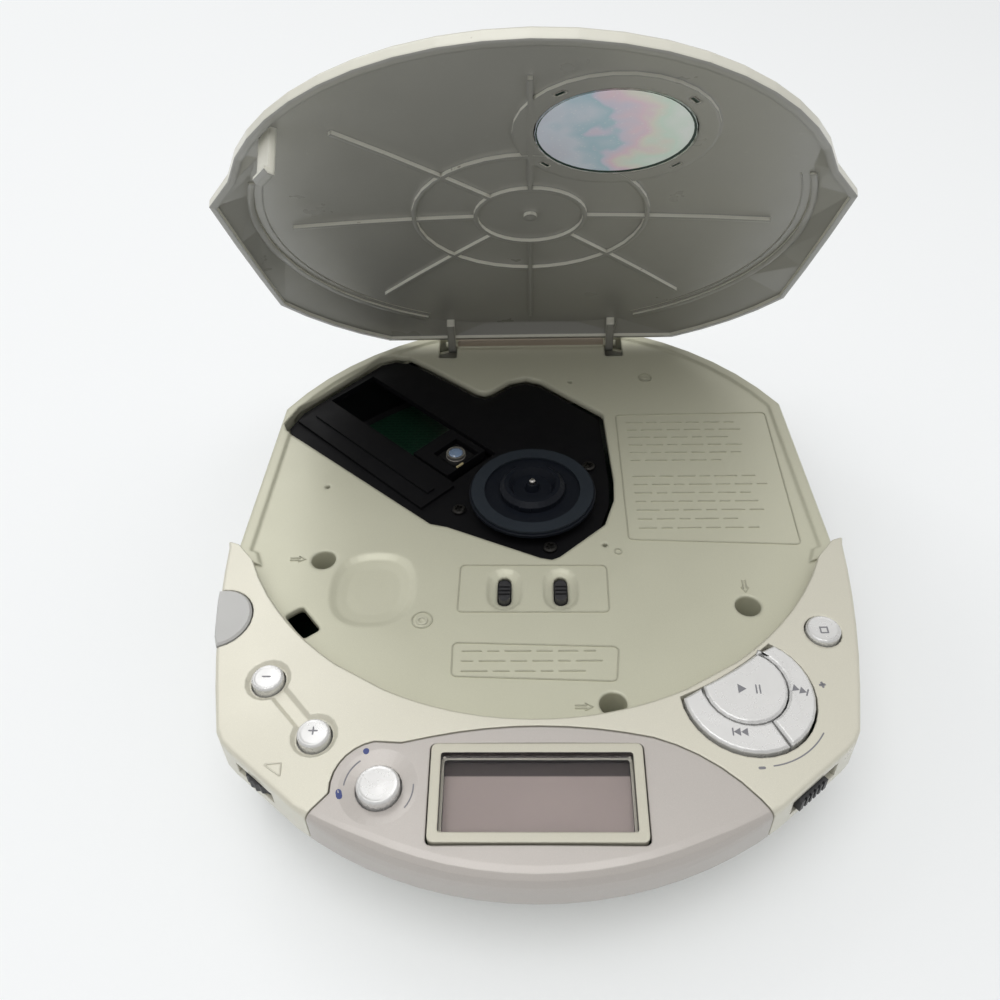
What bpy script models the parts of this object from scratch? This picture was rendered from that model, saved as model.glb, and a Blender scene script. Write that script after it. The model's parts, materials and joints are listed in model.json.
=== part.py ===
"""Portable CD player with a radio, lid open, as an assembly of separate pieces.

Units are metres and +Z is up. The origin lies on the spindle axis, on the flat underside.
+Y points to the hinge and -Y to the front panel. Lid pieces are drawn closed, in the frame of
the hinge, and the lid_hinge empty turns them to the open rest position.
"""

from math import atan2, copysign, cos, hypot, pi, radians, sin, sqrt

import bmesh
import bpy
from mathutils import Matrix, Vector
from mathutils.geometry import intersect_line_line_2d, intersect_line_sphere_2d

# Clearances and overruns
GAP = 0.0003
RUN_GAP = 0.0002
CUT_OVER = 0.0020
SINK = 0.0004
WELD = 0.000001
MITRE_SHARE = 0.35
SHARP_EDGE = radians(32.0)

# Disc well, which the housing, the front panel and the lid share
DISC_RADIUS = 0.0600
DISC_PLAY = 0.0028
WELL_RADIUS = DISC_RADIUS + DISC_PLAY

# Body outline, seen from above
REAR_MARGIN = 0.0072
SIDE_MARGIN = 0.0012
FRONT_MARGIN = 0.0082
REAR_RADIUS = WELL_RADIUS + REAR_MARGIN
REAR_CORNER_Y = 0.0330
WIDEST_X = WELL_RADIUS + SIDE_MARGIN
WIDEST_Y = -0.0200
WING_MID_X = 0.0619
WING_MID_Y = -0.0415
WING_END_X = 0.0580
WING_END_Y = -0.0612
SHOULDER_X = 0.0568
SHOULDER_Y = -0.0650
BEVEL_START_X = 0.0544
BEVEL_START_Y = -0.0677
BEVEL_END_X = 0.0415
FRONT_RADIUS = WELL_RADIUS + FRONT_MARGIN
FRONT_CENTRE_Y = -0.0208

# Heights
PARTING_Z = 0.0185
DECK_Z = 0.0230
RIM_Z = 0.0235
CROWN_Z = 0.0315
CROWN_RADIUS = 0.6870

# Bottom case
CASE_WALL = 0.0018
CASE_FLOOR = 0.0016
CASE_FOOT_INSET = 0.0060
CASE_HEEL_INSET = 0.0034
CASE_HEEL_Z = 0.0016
CASE_HIP_INSET = 0.0014
CASE_HIP_Z = 0.0055
CASE_TOP_INSET = 0.0003
CASE_TUCK = 0.0092
CASE_TUCK_Y = -0.0400
CASE_HEEL_TUCK_SHARE = 0.85
CASE_HIP_TUCK_SHARE = 0.60

# Deck, the floor of the disc well and the rear rim
DECK_THICKNESS = 0.0016
DECK_WALL = 0.0020
DECK_LAP = 0.0018
DECK_FRONT_RADIUS = WELL_RADIUS + DECK_LAP
RIM_WIDTH = 0.0027
RIM_SLOPE = 0.0004
EDGE_ROUND = 0.0005

# Screw tubes of the deck and posts of the bottom case
SCREW_PLACES = (
    ("left", -0.0448, -0.0191),
    ("right", 0.0432, -0.0326),
    ("front", 0.0145, -0.0561),
)
TUBE_BORE = 0.00265
TUBE_RADIUS = 0.0040
TUBE_FLOOR_Z = 0.0110
TUBE_FLOOR = 0.0016
SCREW_HEAD_RADIUS = 0.0021
SCREW_HEAD_HEIGHT = 0.0016
SCREW_SHANK_RADIUS = 0.0008
SCREW_LENGTH = 0.0085
POST_RADIUS = 0.0034
DRIVE_SLOT_WIDTH = 0.0006
DRIVE_SLOT_DEPTH = 0.0006
SCREW_CROWN_SHARE = 0.80

# Finger dish, marks and small holes of the deck
DISH_X = -0.0333
DISH_Y = -0.0272
DISH_LENGTH = 0.0205
DISH_WIDTH = 0.0180
DISH_DEPTH = 0.0011
DISH_SQUARE_SHARE = 0.80
BOWL_SIZE_SHARES = (0.30, 0.62, 0.85, 1.0)
BOWL_DEPTH_SHARES = (1.0, 0.92, 0.62, 0.0)
MARK_RING_RADIUS = 0.0012
MARK_RING_BORE = 0.0007
MARK_RING_HEIGHT = 0.0003
MARK_RINGS = ((-0.0225, -0.0360), (0.0295, 0.0441))
PIN_HOLE_RADIUS = 0.0006
PIN_HOLES = ((-0.0472, 0.0040), (0.0155, -0.0152), (0.0101, 0.0432))

# Slide switches on the deck
SWITCHES = (("resume_switch", -0.0060), ("limiter_switch", 0.0056))
SWITCH_Y = -0.0277
SWITCH_BOWL_LENGTH = 0.0116
SWITCH_BOWL_WIDTH = 0.0074
SWITCH_BOWL_DEPTH = 0.0009
SWITCH_SLOT_LENGTH = 0.0080
SWITCH_SLOT_WIDTH = 0.0029
SWITCH_KNOB_LENGTH = 0.0056
SWITCH_KNOB_WIDTH = 0.0023
SWITCH_KNOB_PROUD = 0.0006
SWITCH_TRAVEL = 0.0018
SWITCH_RIB_WIDTH = 0.0005
SWITCH_PLATE = 0.0010

# Pickup window through the deck, point by point round its edge
WINDOW_POINTS = (
    (-0.0612, 0.0269),
    (-0.0602, 0.0241),
    (-0.0565, 0.0210),
    (-0.0227, -0.0084),
    (-0.0189, -0.0094),
    (0.0015, -0.0189),
    (0.0040, -0.0195),
    (0.0057, -0.0187),
    (0.0159, -0.0091),
    (0.0184, -0.0012),
    (0.0188, 0.0055),
    (0.0178, 0.0295),
    (0.0171, 0.0307),
    (0.0024, 0.0442),
    (-0.0013, 0.0456),
    (-0.0054, 0.0444),
    (-0.0100, 0.0402),
    (-0.0118, 0.0394),
    (-0.0141, 0.0403),
    (-0.0267, 0.0510),
    (-0.0323, 0.0552),
    (-0.0364, 0.0558),
    (-0.0403, 0.0545),
    (-0.0585, 0.0336),
)

# Mechanism, laid out along the pickup's travel
TRAVEL_ANGLE = radians(136.2)
CHASSIS_INSET = 0.0010
CHASSIS_Z = 0.0215
CHASSIS_THICKNESS = 0.0016
COVER_HEIGHT = 0.0008
COVER_NEAR = 0.0090
COVER_FAR = 0.0192
COVER_START = 0.0165
COVER_END = 0.0625
RAIL_WIDTH = 0.0022
RAIL_HEIGHT = 0.0005
PICKUP_RADIUS = 0.0254
PICKUP_IN = 0.0020
PICKUP_OUT = 0.0300
SLED_LENGTH = 0.0120
SLED_LEAD = 0.0045
SLED_SIDE_NEAR = -0.0055
SLED_SIDE_FAR = 0.0070
SLED_TOP_Z = 0.0213
SLED_BASE_Z = 0.0095
SLED_SHOULDER_Z = 0.0188
SLED_HALF_WIDTH = 0.0155
SLED_BEARING_BASE_Z = 0.0125
SLED_BEARING_TOP_Z = 0.0175
SLED_BEARING_LENGTH = 0.0085
SLOT_MARGIN = 0.0008
ROD_RADIUS = 0.0010
ROD_OFFSET = 0.0130
ROD_Z = 0.0150
ROD_START = 0.0140
ROD_END = 0.0640
ROD_CLEARANCE = 0.0001
ROD_BLOCK = 0.0020
ROD_BLOCK_HALF = 0.0017
LENS_RADIUS = 0.0017
LENS_HOLDER_SIDE = 0.0062
LENS_HOLDER_THICKNESS = 0.0009
LENS_HOLDER_LIFT = 0.0008
LENS_POCKET_SIDE = 0.0076
LENS_POCKET_DEPTH = 0.0024
LENS_PROUD = 0.0004
LENS_SHOULDER_SHARE = 0.80
LENS_CREST_SHARE = 0.45
LENS_CREST_RISE_SHARE = 0.85
LENS_COLLAR = 0.0006
LENS_STROKE = 0.0005

# Feed screw and its motor
FEED_OFFSET = 0.0203
FEED_PITCH = 0.0030
FEED_CORE_RADIUS = 0.0009
FEED_THREAD = 0.0002
FEED_START = 0.0206
FEED_END = 0.0570
FEED_STEPS_PER_TURN = 4
FEED_SIDES = 8
FEED_FINGER_LENGTH = 0.0036
FEED_MOTOR_START = 0.0140
FEED_MOTOR_RADIUS = 0.0044

# Turntable and spindle motor
TABLE_RADIUS = 0.01428
TABLE_TOP_Z = 0.0250
TABLE_THICKNESS = 0.0013
TABLE_BOSS_RADIUS = 0.0030
PAD_INNER = 0.0108
PAD_THICKNESS = 0.0005
HUB_RADIUS = 0.0073
HUB_TOP_Z = 0.0274
HUB_CONE = 0.0010
HUB_FLOOR_Z = 0.0258
SPINDLE_TIP_Z = 0.0284
SHAFT_RADIUS = 0.0007
CLAW_COUNT = 3
CLAW_WIDTH = 0.0026
CLAW_PROUD = 0.00015
CLAW_HEIGHT = 0.0009
MOTOR_RADIUS = 0.0100
MOTOR_BASE_Z = 0.0085

# Chassis screws and rubber dampers
CHASSIS_SCREWS = (("left", -0.0166, -0.0028), ("front", 0.0037, -0.0148), ("rear", 0.0133, 0.0115))
CHASSIS_SCREW_RADIUS = 0.0015
CHASSIS_SCREW_HEAD = 0.0007
CHASSIS_SCREW_SHANK = 0.0006
CHASSIS_SCREW_LENGTH = 0.0085
DAMPER_RADIUS = 0.0030
DAMPER_WAIST = 0.0023
DAMPER_HEIGHT = 0.0036
DAMPER_POST_RADIUS = 0.0022

# Front panel, the cream band with the keys
NOTCH_X = 0.0616
NOTCH_Y = -0.0196
WING_TIP_X = 0.0644
WING_TIP_Y = -0.0184
PANEL_WALL = 0.0018
PANEL_THICKNESS = 0.0018
PANEL_CREASE = 0.0008
PANEL_BRIM = 0.0030
BRIM_START_Y = -0.0780
BRIM_END_Y = -0.0860
BRIM_STEPS = 4
PANEL_LIP_Z = 0.0233
PANEL_LIP = 0.0013
PANEL_INNER_ROUND = 0.0004
PANEL_ARC_END = radians(-22.6)

# Silver fascia: its seam with the cream band, from the right round to the left
FASCIA_RIGHT = ((0.0402, -0.0805), (0.0318, -0.0718), (0.0205, -0.0663))
FASCIA_MIDDLE = ((0.0205, -0.0663), (0.0010, -0.0643), (-0.0185, -0.0662))
FASCIA_DIP = (-0.0234, -0.0672)
FASCIA_LEFT = (-0.0398, -0.0810)
FASCIA_BOWL_RADIUS = 0.0086
FASCIA_BOWL_START = radians(100.0)
FASCIA_BOWL_END = radians(186.0)
FASCIA_SIDE = 0.0412
FASCIA_SIDE_Y = -0.0840

# Display
LCD_X = 0.0002
LCD_Y = -0.0766
LCD_WIDTH = 0.0370
LCD_DEPTH = 0.0180
LCD_CORNER = 0.0010
LCD_RIM = 0.0020
LCD_RIM_HEIGHT = 0.0004
LCD_GLASS_DROP = 0.0005
LCD_GLASS_THICKNESS = 0.0010
LCD_CELL_THICKNESS = 0.0016

# Keys
MINUS_X = -0.0495
MINUS_Y = -0.0537
PLUS_X = -0.0392
PLUS_Y = -0.0654
PAIR_RADIUS = 0.0030
PAIR_BOWL_RADIUS = 0.0044
PAIR_NECK_WIDTH = 0.0040
BAND_X = -0.0268
BAND_Y = -0.0753
BAND_RADIUS = 0.0038
BAND_BOWL_RADIUS = 0.0071
STOP_X = 0.0549
STOP_Y = -0.0431
STOP_RADIUS = 0.0033
STOP_BOWL_RADIUS = 0.0039
CLUSTER_X = 0.0384
CLUSTER_Y = -0.0575
CLUSTER_RADIUS = 0.0121
CLUSTER_MARGIN = 0.0014
CLUSTER_INNER_RADIUS = WELL_RADIUS + CLUSTER_MARGIN
PLAY_X = 0.0380
PLAY_Y = -0.0562
PLAY_RADIUS = 0.0076
CLUSTER_SPLIT_ANGLE = radians(-62.0)
KEY_GAP = 0.0003
KEY_PROUD = 0.0009
KEY_SKIRT = 0.0032
KEY_ROUND = 0.0004
KEY_TRAVEL = 0.0006
KEY_HOLLOW = 0.0007
BOWL_DEPTH = 0.0008
KEY_BOWL_HEEL_SHARE = 0.60
KEY_BOWL_DEPTH_SHARE = 0.85
STEM_RADIUS = 0.0010

# Key board under the front panel
BOARD_Z = 0.0196
BOARD_THICKNESS = 0.0010
BOARD_INSET = 0.0022
BOARD_PLAY = 0.0016
BOARD_REAR_RADIUS = DECK_FRONT_RADIUS + BOARD_PLAY
BOARD_REAR_Y = -0.0340
BOARD_LEFT_Y = -0.0455
DOME_RADIUS = 0.0018
DOME_HEIGHT = 0.0005

# Open button and latch
OPEN_X = -0.0622
OPEN_Y = -0.0389
OPEN_RADIUS = 0.0068
OPEN_TRAVEL = 0.0008
OPEN_PROUD = 0.0005
OPEN_WALL_PROUD = 0.0003
OPEN_BASE_Z = 0.0222
OPEN_CEILING_Z = 0.0240
OPEN_WALL = 0.0012
OPEN_RIB = 0.0007
RAMP_FOOT_X = -0.0568
RAMP_Z = 0.0220
RAMP_LEAD = 0.0010
LATCH_BASE_Z = 0.0201
LATCH_Y = -0.0376
LATCH_THICKNESS = 0.0010
LATCH_WIDTH = 0.0036
LATCH_CHANNEL_LEFT = -0.0590
LATCH_CHANNEL_RIGHT = -0.0480
LATCH_TRAVEL = 0.0012

# Hold slider and volume wheel in the bevelled corners
HOLD_LENGTH = 0.0120
HOLD_SLOT_HEIGHT = 0.0040
HOLD_SLIDER_LENGTH = 0.0070
HOLD_SLIDER_HEIGHT = 0.0028
HOLD_Z = 0.0223
HOLD_DEPTH = 0.0030
HOLD_PROUD = 0.0008
HOLD_BACK_GAP = 0.0006
HOLD_TRAVEL = 0.0022
HOLD_RIBS = 5
WHEEL_RADIUS = 0.0050
WHEEL_THICKNESS = 0.0022
WHEEL_Z = 0.0222
WHEEL_PROUD = 0.0007
WHEEL_SHIFT = 0.0019
WHEEL_TEETH = 24
WHEEL_TOOTH = 0.0003
WHEEL_BORE = 0.0013
WHEEL_SLOT_LENGTH = 0.0098
WHEEL_SLOT_HEIGHT = 0.0030

# Lid
LID_OPEN_ANGLE = radians(54.759)
HINGE_Y = 0.0603
HINGE_Z = 0.0232
LID_WALL = 0.0015
LID_PLAY = 0.0006
LID_FRONT_RADIUS = WELL_RADIUS - LID_PLAY
LID_CREST_RADIUS = 0.0580
LID_HEART_RADIUS = 0.0080
LID_FIELD_RADIUS = 0.0380
LID_BAND = 0.0030
LID_RIM_Z = 0.0239
LID_FRONT_RIM_Z = 0.0261
LID_EDGE_Z = 0.0262
LID_REAR_Y = 0.0585
LID_REAR_HALF = 0.0380
LID_SIDE_X = 0.0628
LID_SIDE_Y = 0.0050
LID_EAR_X = 0.0633
LID_EAR_Y = -0.0163
BOSS_RING_RADIUS = 0.0116
RIB_RING_RADIUS = 0.0247
RIB_WIDTH = 0.0009
RIB_HEIGHT = 0.0008
RIB_MARGIN = 0.0075
RIB_OUTER_RADIUS = LID_CREST_RADIUS - RIB_MARGIN
SPOKE_ANGLES = tuple(radians(a) for a in (0.0, 45.0, 90.0, 135.0, 180.0, 225.0, 270.0))
GATE_RADIUS = 0.0014
PORT_X = 0.0153
PORT_Y = -0.0330
PORT_RADIUS = 0.0148
PORT_RING_RADIUS = 0.0186
PORT_RING_DEPTH = 0.0009
BADGE_THICKNESS = 0.0010
CLIP_WIDTH = 0.0026
CLIP_DEPTH = 0.0012
CLIP_ANGLES = (radians(138.0), radians(232.0), radians(318.0), radians(42.0))
CATCH_X = -0.0466
CATCH_Y = -0.0363
CATCH_WIDTH = 0.0050
CATCH_THICKNESS = 0.0013
CATCH_TIP_Z = 0.0185
CATCH_TOOTH = 0.0007
CATCH_TOOTH_HEIGHT = 0.0005
CATCH_SLOT_LENGTH = 0.0078
CATCH_SLOT_WIDTH = 0.0042

# Hinge arms, pins and the raised band between the arms
ARM_X = 0.0211
ARM_WIDTH = 0.0020
ARM_RADIUS = 0.0021
ARM_ROOT_Y = 0.0530
ARM_ROOT_Z = 0.0279
ARM_ROOT_BASE_Z = 0.0256
ARM_REAR_Y = 0.0578
ARM_REAR_Z = 0.0259
ARM_ARC_START = radians(-110.0)
ARM_ARC_END = radians(80.0)
HINGE_PIN_RADIUS = 0.0008
HINGE_PIN_CLEARANCE = 0.0001
ARM_SLOT_FRONT_Y = 0.0545
ARM_SLOT_REAR_Y = 0.0636
ARM_SLOT_INNER_X = 0.0198
ARM_SLOT_OUTER_X = 0.0246
BAND_HALF = 0.0195
BAND_FRONT_Y = 0.0594
BAND_PIN_REACH = 0.0034
BAND_TOP_RADIUS = 0.0645
BAND_SETBACK = 0.0012
BAND_REAR_RADIUS = REAR_RADIUS - BAND_SETBACK
BAND_TOP_Z = 0.0246

# Battery compartment, cells, contacts and door
BATTERY_X = 0.0400
BATTERY_Y = 0.0019
BATTERY_HALF_WIDTH = 0.0150
BATTERY_HALF_LENGTH = 0.0281
BATTERY_ROOF_Z = 0.0172
BATTERY_WALL = 0.0015
CELL_RADIUS = 0.00715
CELL_LENGTH = 0.0492
CELL_NUB_RADIUS = 0.0026
CELL_NUB_LENGTH = 0.0012
CELL_Z = 0.0095
CELL_ROUND = 0.0005
DOOR_THICKNESS = 0.0014
DOOR_MARGIN = 0.0004
DOOR_LIFT = 0.0002
DOOR_PIN_RADIUS = 0.0004
DOOR_PIN_LENGTH = 0.0010
DOOR_RIB_WIDTH = 0.0008
DOOR_RIB_HEIGHT = 0.0002
DOOR_RIBS = 5
DOOR_RIB_PITCH = 0.0016
SPRING_WIRE = 0.0003
SPRING_RADIUS = 0.0032
SPRING_TIP_RADIUS = 0.0016
SPRING_TURNS = 3
SPRING_POINTS_PER_TURN = 8
PLATE_THICKNESS = 0.0004
PLATE_SIDE = 0.0100

# Jacks in the left side wall
PHONES_Y = -0.0080
DC_Y = 0.0060
JACK_Z = 0.0096
JACK_X = -0.0515
JACK_LENGTH = 0.0120
JACK_SIDE = 0.0066
JACK_NOSE_RADIUS = 0.0029
JACK_NOSE_X = -0.0612
PHONES_BORE = 0.00185
DC_BORE = 0.0022
DC_PIN = 0.0006
JACK_BORE_DEPTH = 0.0105

# Boards
MAIN_BOARD_Z = 0.0048
MAIN_BOARD_THICKNESS = 0.0012
MAIN_BOARD_INSET = 0.0052
MAIN_BOARD_RIGHT_X = 0.0215
MAIN_BOARD_FRONT_Y = -0.0465
MAIN_BOARD_REAR_Y = 0.0560
MAIN_BOARD_POSTS = ((-0.0300, -0.0300), (0.0100, -0.0400), (-0.0200, 0.0420), (0.0150, 0.0400))
SHORT_POST_RADIUS = 0.0018
CHIPS = (
    (-0.0260, -0.0250, 0.0120, 0.0120),
    (0.0020, -0.0330, 0.0090, 0.0140),
    (-0.0050, 0.0400, 0.0100, 0.0070),
)
CHIP_HEIGHT = 0.0014
KEY_BOARD_POSTS = ((-0.0545, -0.0490), (-0.0250, -0.0690), (0.0250, -0.0690), (0.0560, -0.0380))
POT_RADIUS = 0.0018
POT_HEIGHT = 0.0022
POT_SHAFT_RADIUS = 0.0012


def clear_scene():
    for obj in list(bpy.data.objects):
        bpy.data.objects.remove(obj, do_unlink=True)


def material(name, colour, roughness, metallic=0.0, transmission=0.0):
    made = bpy.data.materials.new(name)
    made.use_nodes = True
    shader = made.node_tree.nodes["Principled BSDF"]
    shader.inputs["Base Color"].default_value = (*colour, 1.0)
    shader.inputs["Roughness"].default_value = roughness
    shader.inputs["Metallic"].default_value = metallic
    shader.inputs["Transmission Weight"].default_value = transmission
    made.diffuse_color = (*colour, 1.0)
    return made


def arc(centre, radius, start, end, steps):
    """Points on an arc, both ends included."""
    turns = [start + (end - start) * i / steps for i in range(steps + 1)]
    return [(centre[0] + radius * cos(a), centre[1] + radius * sin(a)) for a in turns]


def circle(centre, radius, steps):
    return arc(centre, radius, 0.0, 2 * pi, steps)[:-1]


def arc_through(first, middle, last, steps):
    """Points on the arc through three points, both ends included."""
    (ax, ay), (bx, by), (cx, cy) = first, middle, last
    d = 2 * (ax * (by - cy) + bx * (cy - ay) + cx * (ay - by))
    sa, sb, sc = ax * ax + ay * ay, bx * bx + by * by, cx * cx + cy * cy
    ox = (sa * (by - cy) + sb * (cy - ay) + sc * (ay - by)) / d
    oy = (sa * (cx - bx) + sb * (ax - cx) + sc * (bx - ax)) / d
    start = atan2(ay - oy, ax - ox)
    through = (atan2(by - oy, bx - ox) - start) % (2 * pi)
    end = (atan2(cy - oy, cx - ox) - start) % (2 * pi)
    sweep = end if through <= end else end - 2 * pi
    return arc((ox, oy), hypot(ax - ox, ay - oy), start, start + sweep, steps)


def rounded_box(centre, width, depth, corner, steps=3, turn=0.0):
    """A rectangle's outline with round corners, anticlockwise."""
    points = []
    for quarter, (sx, sy) in enumerate(((1, 1), (-1, 1), (-1, -1), (1, -1))):
        middle = (sx * (width / 2 - corner), sy * (depth / 2 - corner))
        points += arc(middle, corner, quarter * pi / 2, (quarter + 1) * pi / 2, steps)
    c, s = cos(turn), sin(turn)
    return [(centre[0] + x * c - y * s, centre[1] + x * s + y * c) for x, y in points]


def capsule(centre, length, width, steps=6, turn=0.0):
    """A slot with round ends; its length runs along the turned X."""
    half = (length - width) / 2
    points = arc((half, 0.0), width / 2, -pi / 2, pi / 2, steps)
    points += arc((-half, 0.0), width / 2, pi / 2, 3 * pi / 2, steps)
    c, s = cos(turn), sin(turn)
    return [(centre[0] + x * c - y * s, centre[1] + x * s + y * c) for x, y in points]


def inset(loop, distance):
    """The closed outline moved inwards; an outline runs anticlockwise."""
    moved = []
    count = len(loop)
    for i, (x, y) in enumerate(loop):
        before, after = loop[i - 1], loop[(i + 1) % count]
        first = Vector((x - before[0], y - before[1])).normalized()
        second = Vector((after[0] - x, after[1] - y)).normalized()
        normal = Vector((-first.y - second.y, first.x + second.x)).normalized()
        lean = max(MITRE_SHARE, normal.dot(Vector((-first.y, first.x))))
        moved.append((x + normal.x * distance / lean, y + normal.y * distance / lean))
    return moved


def mirrored(half):
    """A closed outline from its right half, which runs from the rear to the front."""
    left = [(-x, y) for x, y in reversed(half) if abs(x) > GAP]
    return (half + left)[::-1]


def crown(x, y):
    """Height of the shallow dome that the closed lid and the front panel share."""
    return CROWN_Z - (x * x + y * y) / (2 * CROWN_RADIUS)


def rear_half():
    """Right half of the outline behind the wings, rear middle first."""
    corner_angle = atan2(REAR_CORNER_Y, sqrt(REAR_RADIUS**2 - REAR_CORNER_Y**2))
    points = arc((0.0, 0.0), REAR_RADIUS, pi / 2, corner_angle, 10)
    return points


def front_half():
    """Right half of the outline from the widest point to the front middle."""
    bevel_end = (BEVEL_END_X, FRONT_CENTRE_Y - sqrt(FRONT_RADIUS**2 - BEVEL_END_X**2))
    points = arc_through((WIDEST_X, WIDEST_Y), (WING_MID_X, WING_MID_Y), (WING_END_X, WING_END_Y), 6)
    shoulder = arc_through(
        (WING_END_X, WING_END_Y), (SHOULDER_X, SHOULDER_Y), (BEVEL_START_X, BEVEL_START_Y), 3
    )
    points += shoulder[1:]
    end_angle = atan2(bevel_end[1] - FRONT_CENTRE_Y, bevel_end[0])
    points += arc((0.0, FRONT_CENTRE_Y), FRONT_RADIUS, end_angle, -pi / 2, 9)
    return points


def body_outline(amount=0.0):
    half = rear_half() + front_half()
    return inset(mirrored(half), amount)


def tucked_outline(amount, share):
    """The body's outline with its front drawn back under the panel."""
    depth = CASE_TUCK_Y - (FRONT_CENTRE_Y - FRONT_RADIUS)
    loop = body_outline(amount)
    return [(x, y + CASE_TUCK * share * max(0.0, (CASE_TUCK_Y - y) / depth)) for x, y in loop]


def wing_end(shift):
    """Tip and direction of the panel's end face, moved rearwards; the direction runs inwards."""
    tip, notch = Vector((WING_TIP_X, WING_TIP_Y)), Vector((NOTCH_X, NOTCH_Y))
    line = (notch - tip).normalized()
    return tip + Vector((line.y, -line.x)) * shift, line


def deck_outline(amount=0.0):
    """The body behind the wings, and a round flange under the front panel's inner edge."""
    rear = rear_half()
    tip, line = wing_end(GAP)
    outside, inside = tip - line * WIDEST_X, tip + line * WIDEST_X
    side = intersect_line_line_2d(rear[-1], (WIDEST_X, WIDEST_Y), outside, inside)
    meets = intersect_line_sphere_2d(side, inside, (0.0, 0.0), DECK_FRONT_RADIUS)
    inner = min((p for p in meets if p is not None), key=lambda p: (p - side).length)
    front = arc((0.0, 0.0), DECK_FRONT_RADIUS, atan2(inner.y, inner.x), -pi / 2, 12)
    return inset(mirrored(rear + [tuple(side)] + front), amount)


def front_rim_cut():
    """The ground that the front panel stands over, which has no raised rim."""
    tip, line = wing_end(GAP)
    outer = tip - line * RIM_WIDTH
    radius = WELL_RADIUS - RIM_WIDTH
    meets = intersect_line_sphere_2d(tip, tip + line * WIDEST_X, (0.0, 0.0), radius)
    inner = min((p for p in meets if p is not None), key=lambda p: (p - tip).length)
    half = [tuple(inner), tuple(outer), (outer.x, -REAR_RADIUS)]
    near = arc((0.0, 0.0), radius, atan2(inner.y, inner.x), -pi / 2, 12)[1:-1]
    left = [(-x, y) for x, y in half[::-1]]
    loop = near[::-1] + half + left + [(-x, y) for x, y in near]
    return prism(loop, DECK_Z, RIM_Z + CUT_OVER)


def mesh_object(name, bm, skin, origin=(0.0, 0.0, 0.0), parent=None, smooth=True):
    """A named object whose origin is at the given point; under a parent, points are local to it."""
    bmesh.ops.recalc_face_normals(bm, faces=bm.faces)
    if bm.calc_volume(signed=True) < 0.0:
        bmesh.ops.reverse_faces(bm, faces=bm.faces)
    mesh = bpy.data.meshes.new(name)
    bm.to_mesh(mesh)
    bm.free()
    mesh.transform(Matrix.Translation(-Vector(origin)))
    if smooth:
        mesh.shade_smooth()
        mesh.set_sharp_from_angle(angle=SHARP_EDGE)
    obj = bpy.data.objects.new(name, mesh)
    bpy.context.scene.collection.objects.link(obj)
    obj.location = origin
    if parent is not None:
        obj.location = Vector(origin) - parent.location
        obj.parent = parent
    if skin is not None:
        obj.data.materials.append(skin)
    return obj


def loft(loops, ring=False):
    """Skin through loops of equal count; the ends are capped, or joined when it is a ring."""
    bm = bmesh.new()
    rows = [[bm.verts.new(point) for point in loop] for loop in loops]
    count = len(rows[0])
    pairs = list(zip(rows, rows[1:]))
    if ring:
        pairs.append((rows[-1], rows[0]))
    for low, high in pairs:
        for i in range(count):
            j = (i + 1) % count
            bm.faces.new((low[i], low[j], high[j], high[i]))
    if not ring:
        bm.faces.new(rows[0])
        bm.faces.new(rows[-1])
    return bm


def at_height(loop, z):
    return [(x, y, z) for x, y in loop]


def prism(loop, low, high):
    return loft([at_height(loop, low), at_height(loop, high)])


def stacked(levels):
    """Skin through (outline, height) pairs."""
    return loft([at_height(loop, z) for loop, z in levels])


def turned(profile, centre=(0.0, 0.0), steps=32):
    """A solid of revolution about a vertical axis; a profile that starts and ends on the axis
    is closed by it, and any other profile makes a ring."""
    bm = bmesh.new()
    verts = [bm.verts.new((centre[0] + r, centre[1], z)) for r, z in profile]
    edges = [bm.edges.new(pair) for pair in zip(verts, verts[1:])]
    if profile[0][0] > 0.0:
        edges.append(bm.edges.new((verts[-1], verts[0])))
    bmesh.ops.spin(
        bm,
        geom=verts + edges,
        cent=(centre[0], centre[1], 0.0),
        axis=(0.0, 0.0, 1.0),
        angle=2 * pi,
        steps=steps,
        use_merge=True,
    )
    bmesh.ops.remove_doubles(bm, verts=bm.verts, dist=WELD)
    return bm


def moved(bm, matrix):
    bmesh.ops.transform(bm, matrix=matrix, verts=bm.verts)
    return bm


def cutter(name, bm, parent=None):
    """A hidden helper that a Boolean uses."""
    obj = mesh_object(name, bm, None, parent=parent, smooth=False)
    obj.hide_render = True
    obj.display_type = "WIRE"
    return obj


def combine(obj, tools, operation="DIFFERENCE"):
    for tool in tools:
        boolean = obj.modifiers.new(tool.name, "BOOLEAN")
        boolean.operation = operation
        boolean.object = tool
        boolean.solver = "EXACT"
    return obj


def along(s, t):
    """A point given along the pickup's travel and to its left, in plan."""
    c, q = cos(TRAVEL_ANGLE), sin(TRAVEL_ANGLE)
    return (s * c - t * q, s * q + t * c)


def travel_box(start, end, near, far, low, high):
    """A box whose sides follow the pickup's travel."""
    corners = [along(start, near), along(end, near), along(end, far), along(start, far)]
    return prism(corners, low, high)


def tube_between(start, end, radius, steps=12):
    """A round bar between two points."""
    a, b = Vector(start), Vector(end)
    bm = bmesh.new()
    bmesh.ops.create_cone(
        bm, cap_ends=True, segments=steps, radius1=radius, radius2=radius, depth=(b - a).length
    )
    turn = Vector((0.0, 0.0, 1.0)).rotation_difference(b - a).to_matrix().to_4x4()
    return moved(bm, Matrix.Translation((a + b) / 2) @ turn)


def crown_frame(x, y):
    """A frame that sits on the dome at a place, its Z square to the dome."""
    normal = Vector((x / CROWN_RADIUS, y / CROWN_RADIUS, 1.0)).normalized()
    turn = Vector((0.0, 0.0, 1.0)).rotation_difference(normal).to_matrix().to_4x4()
    return Matrix.Translation((x, y, crown(x, y))) @ turn


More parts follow.
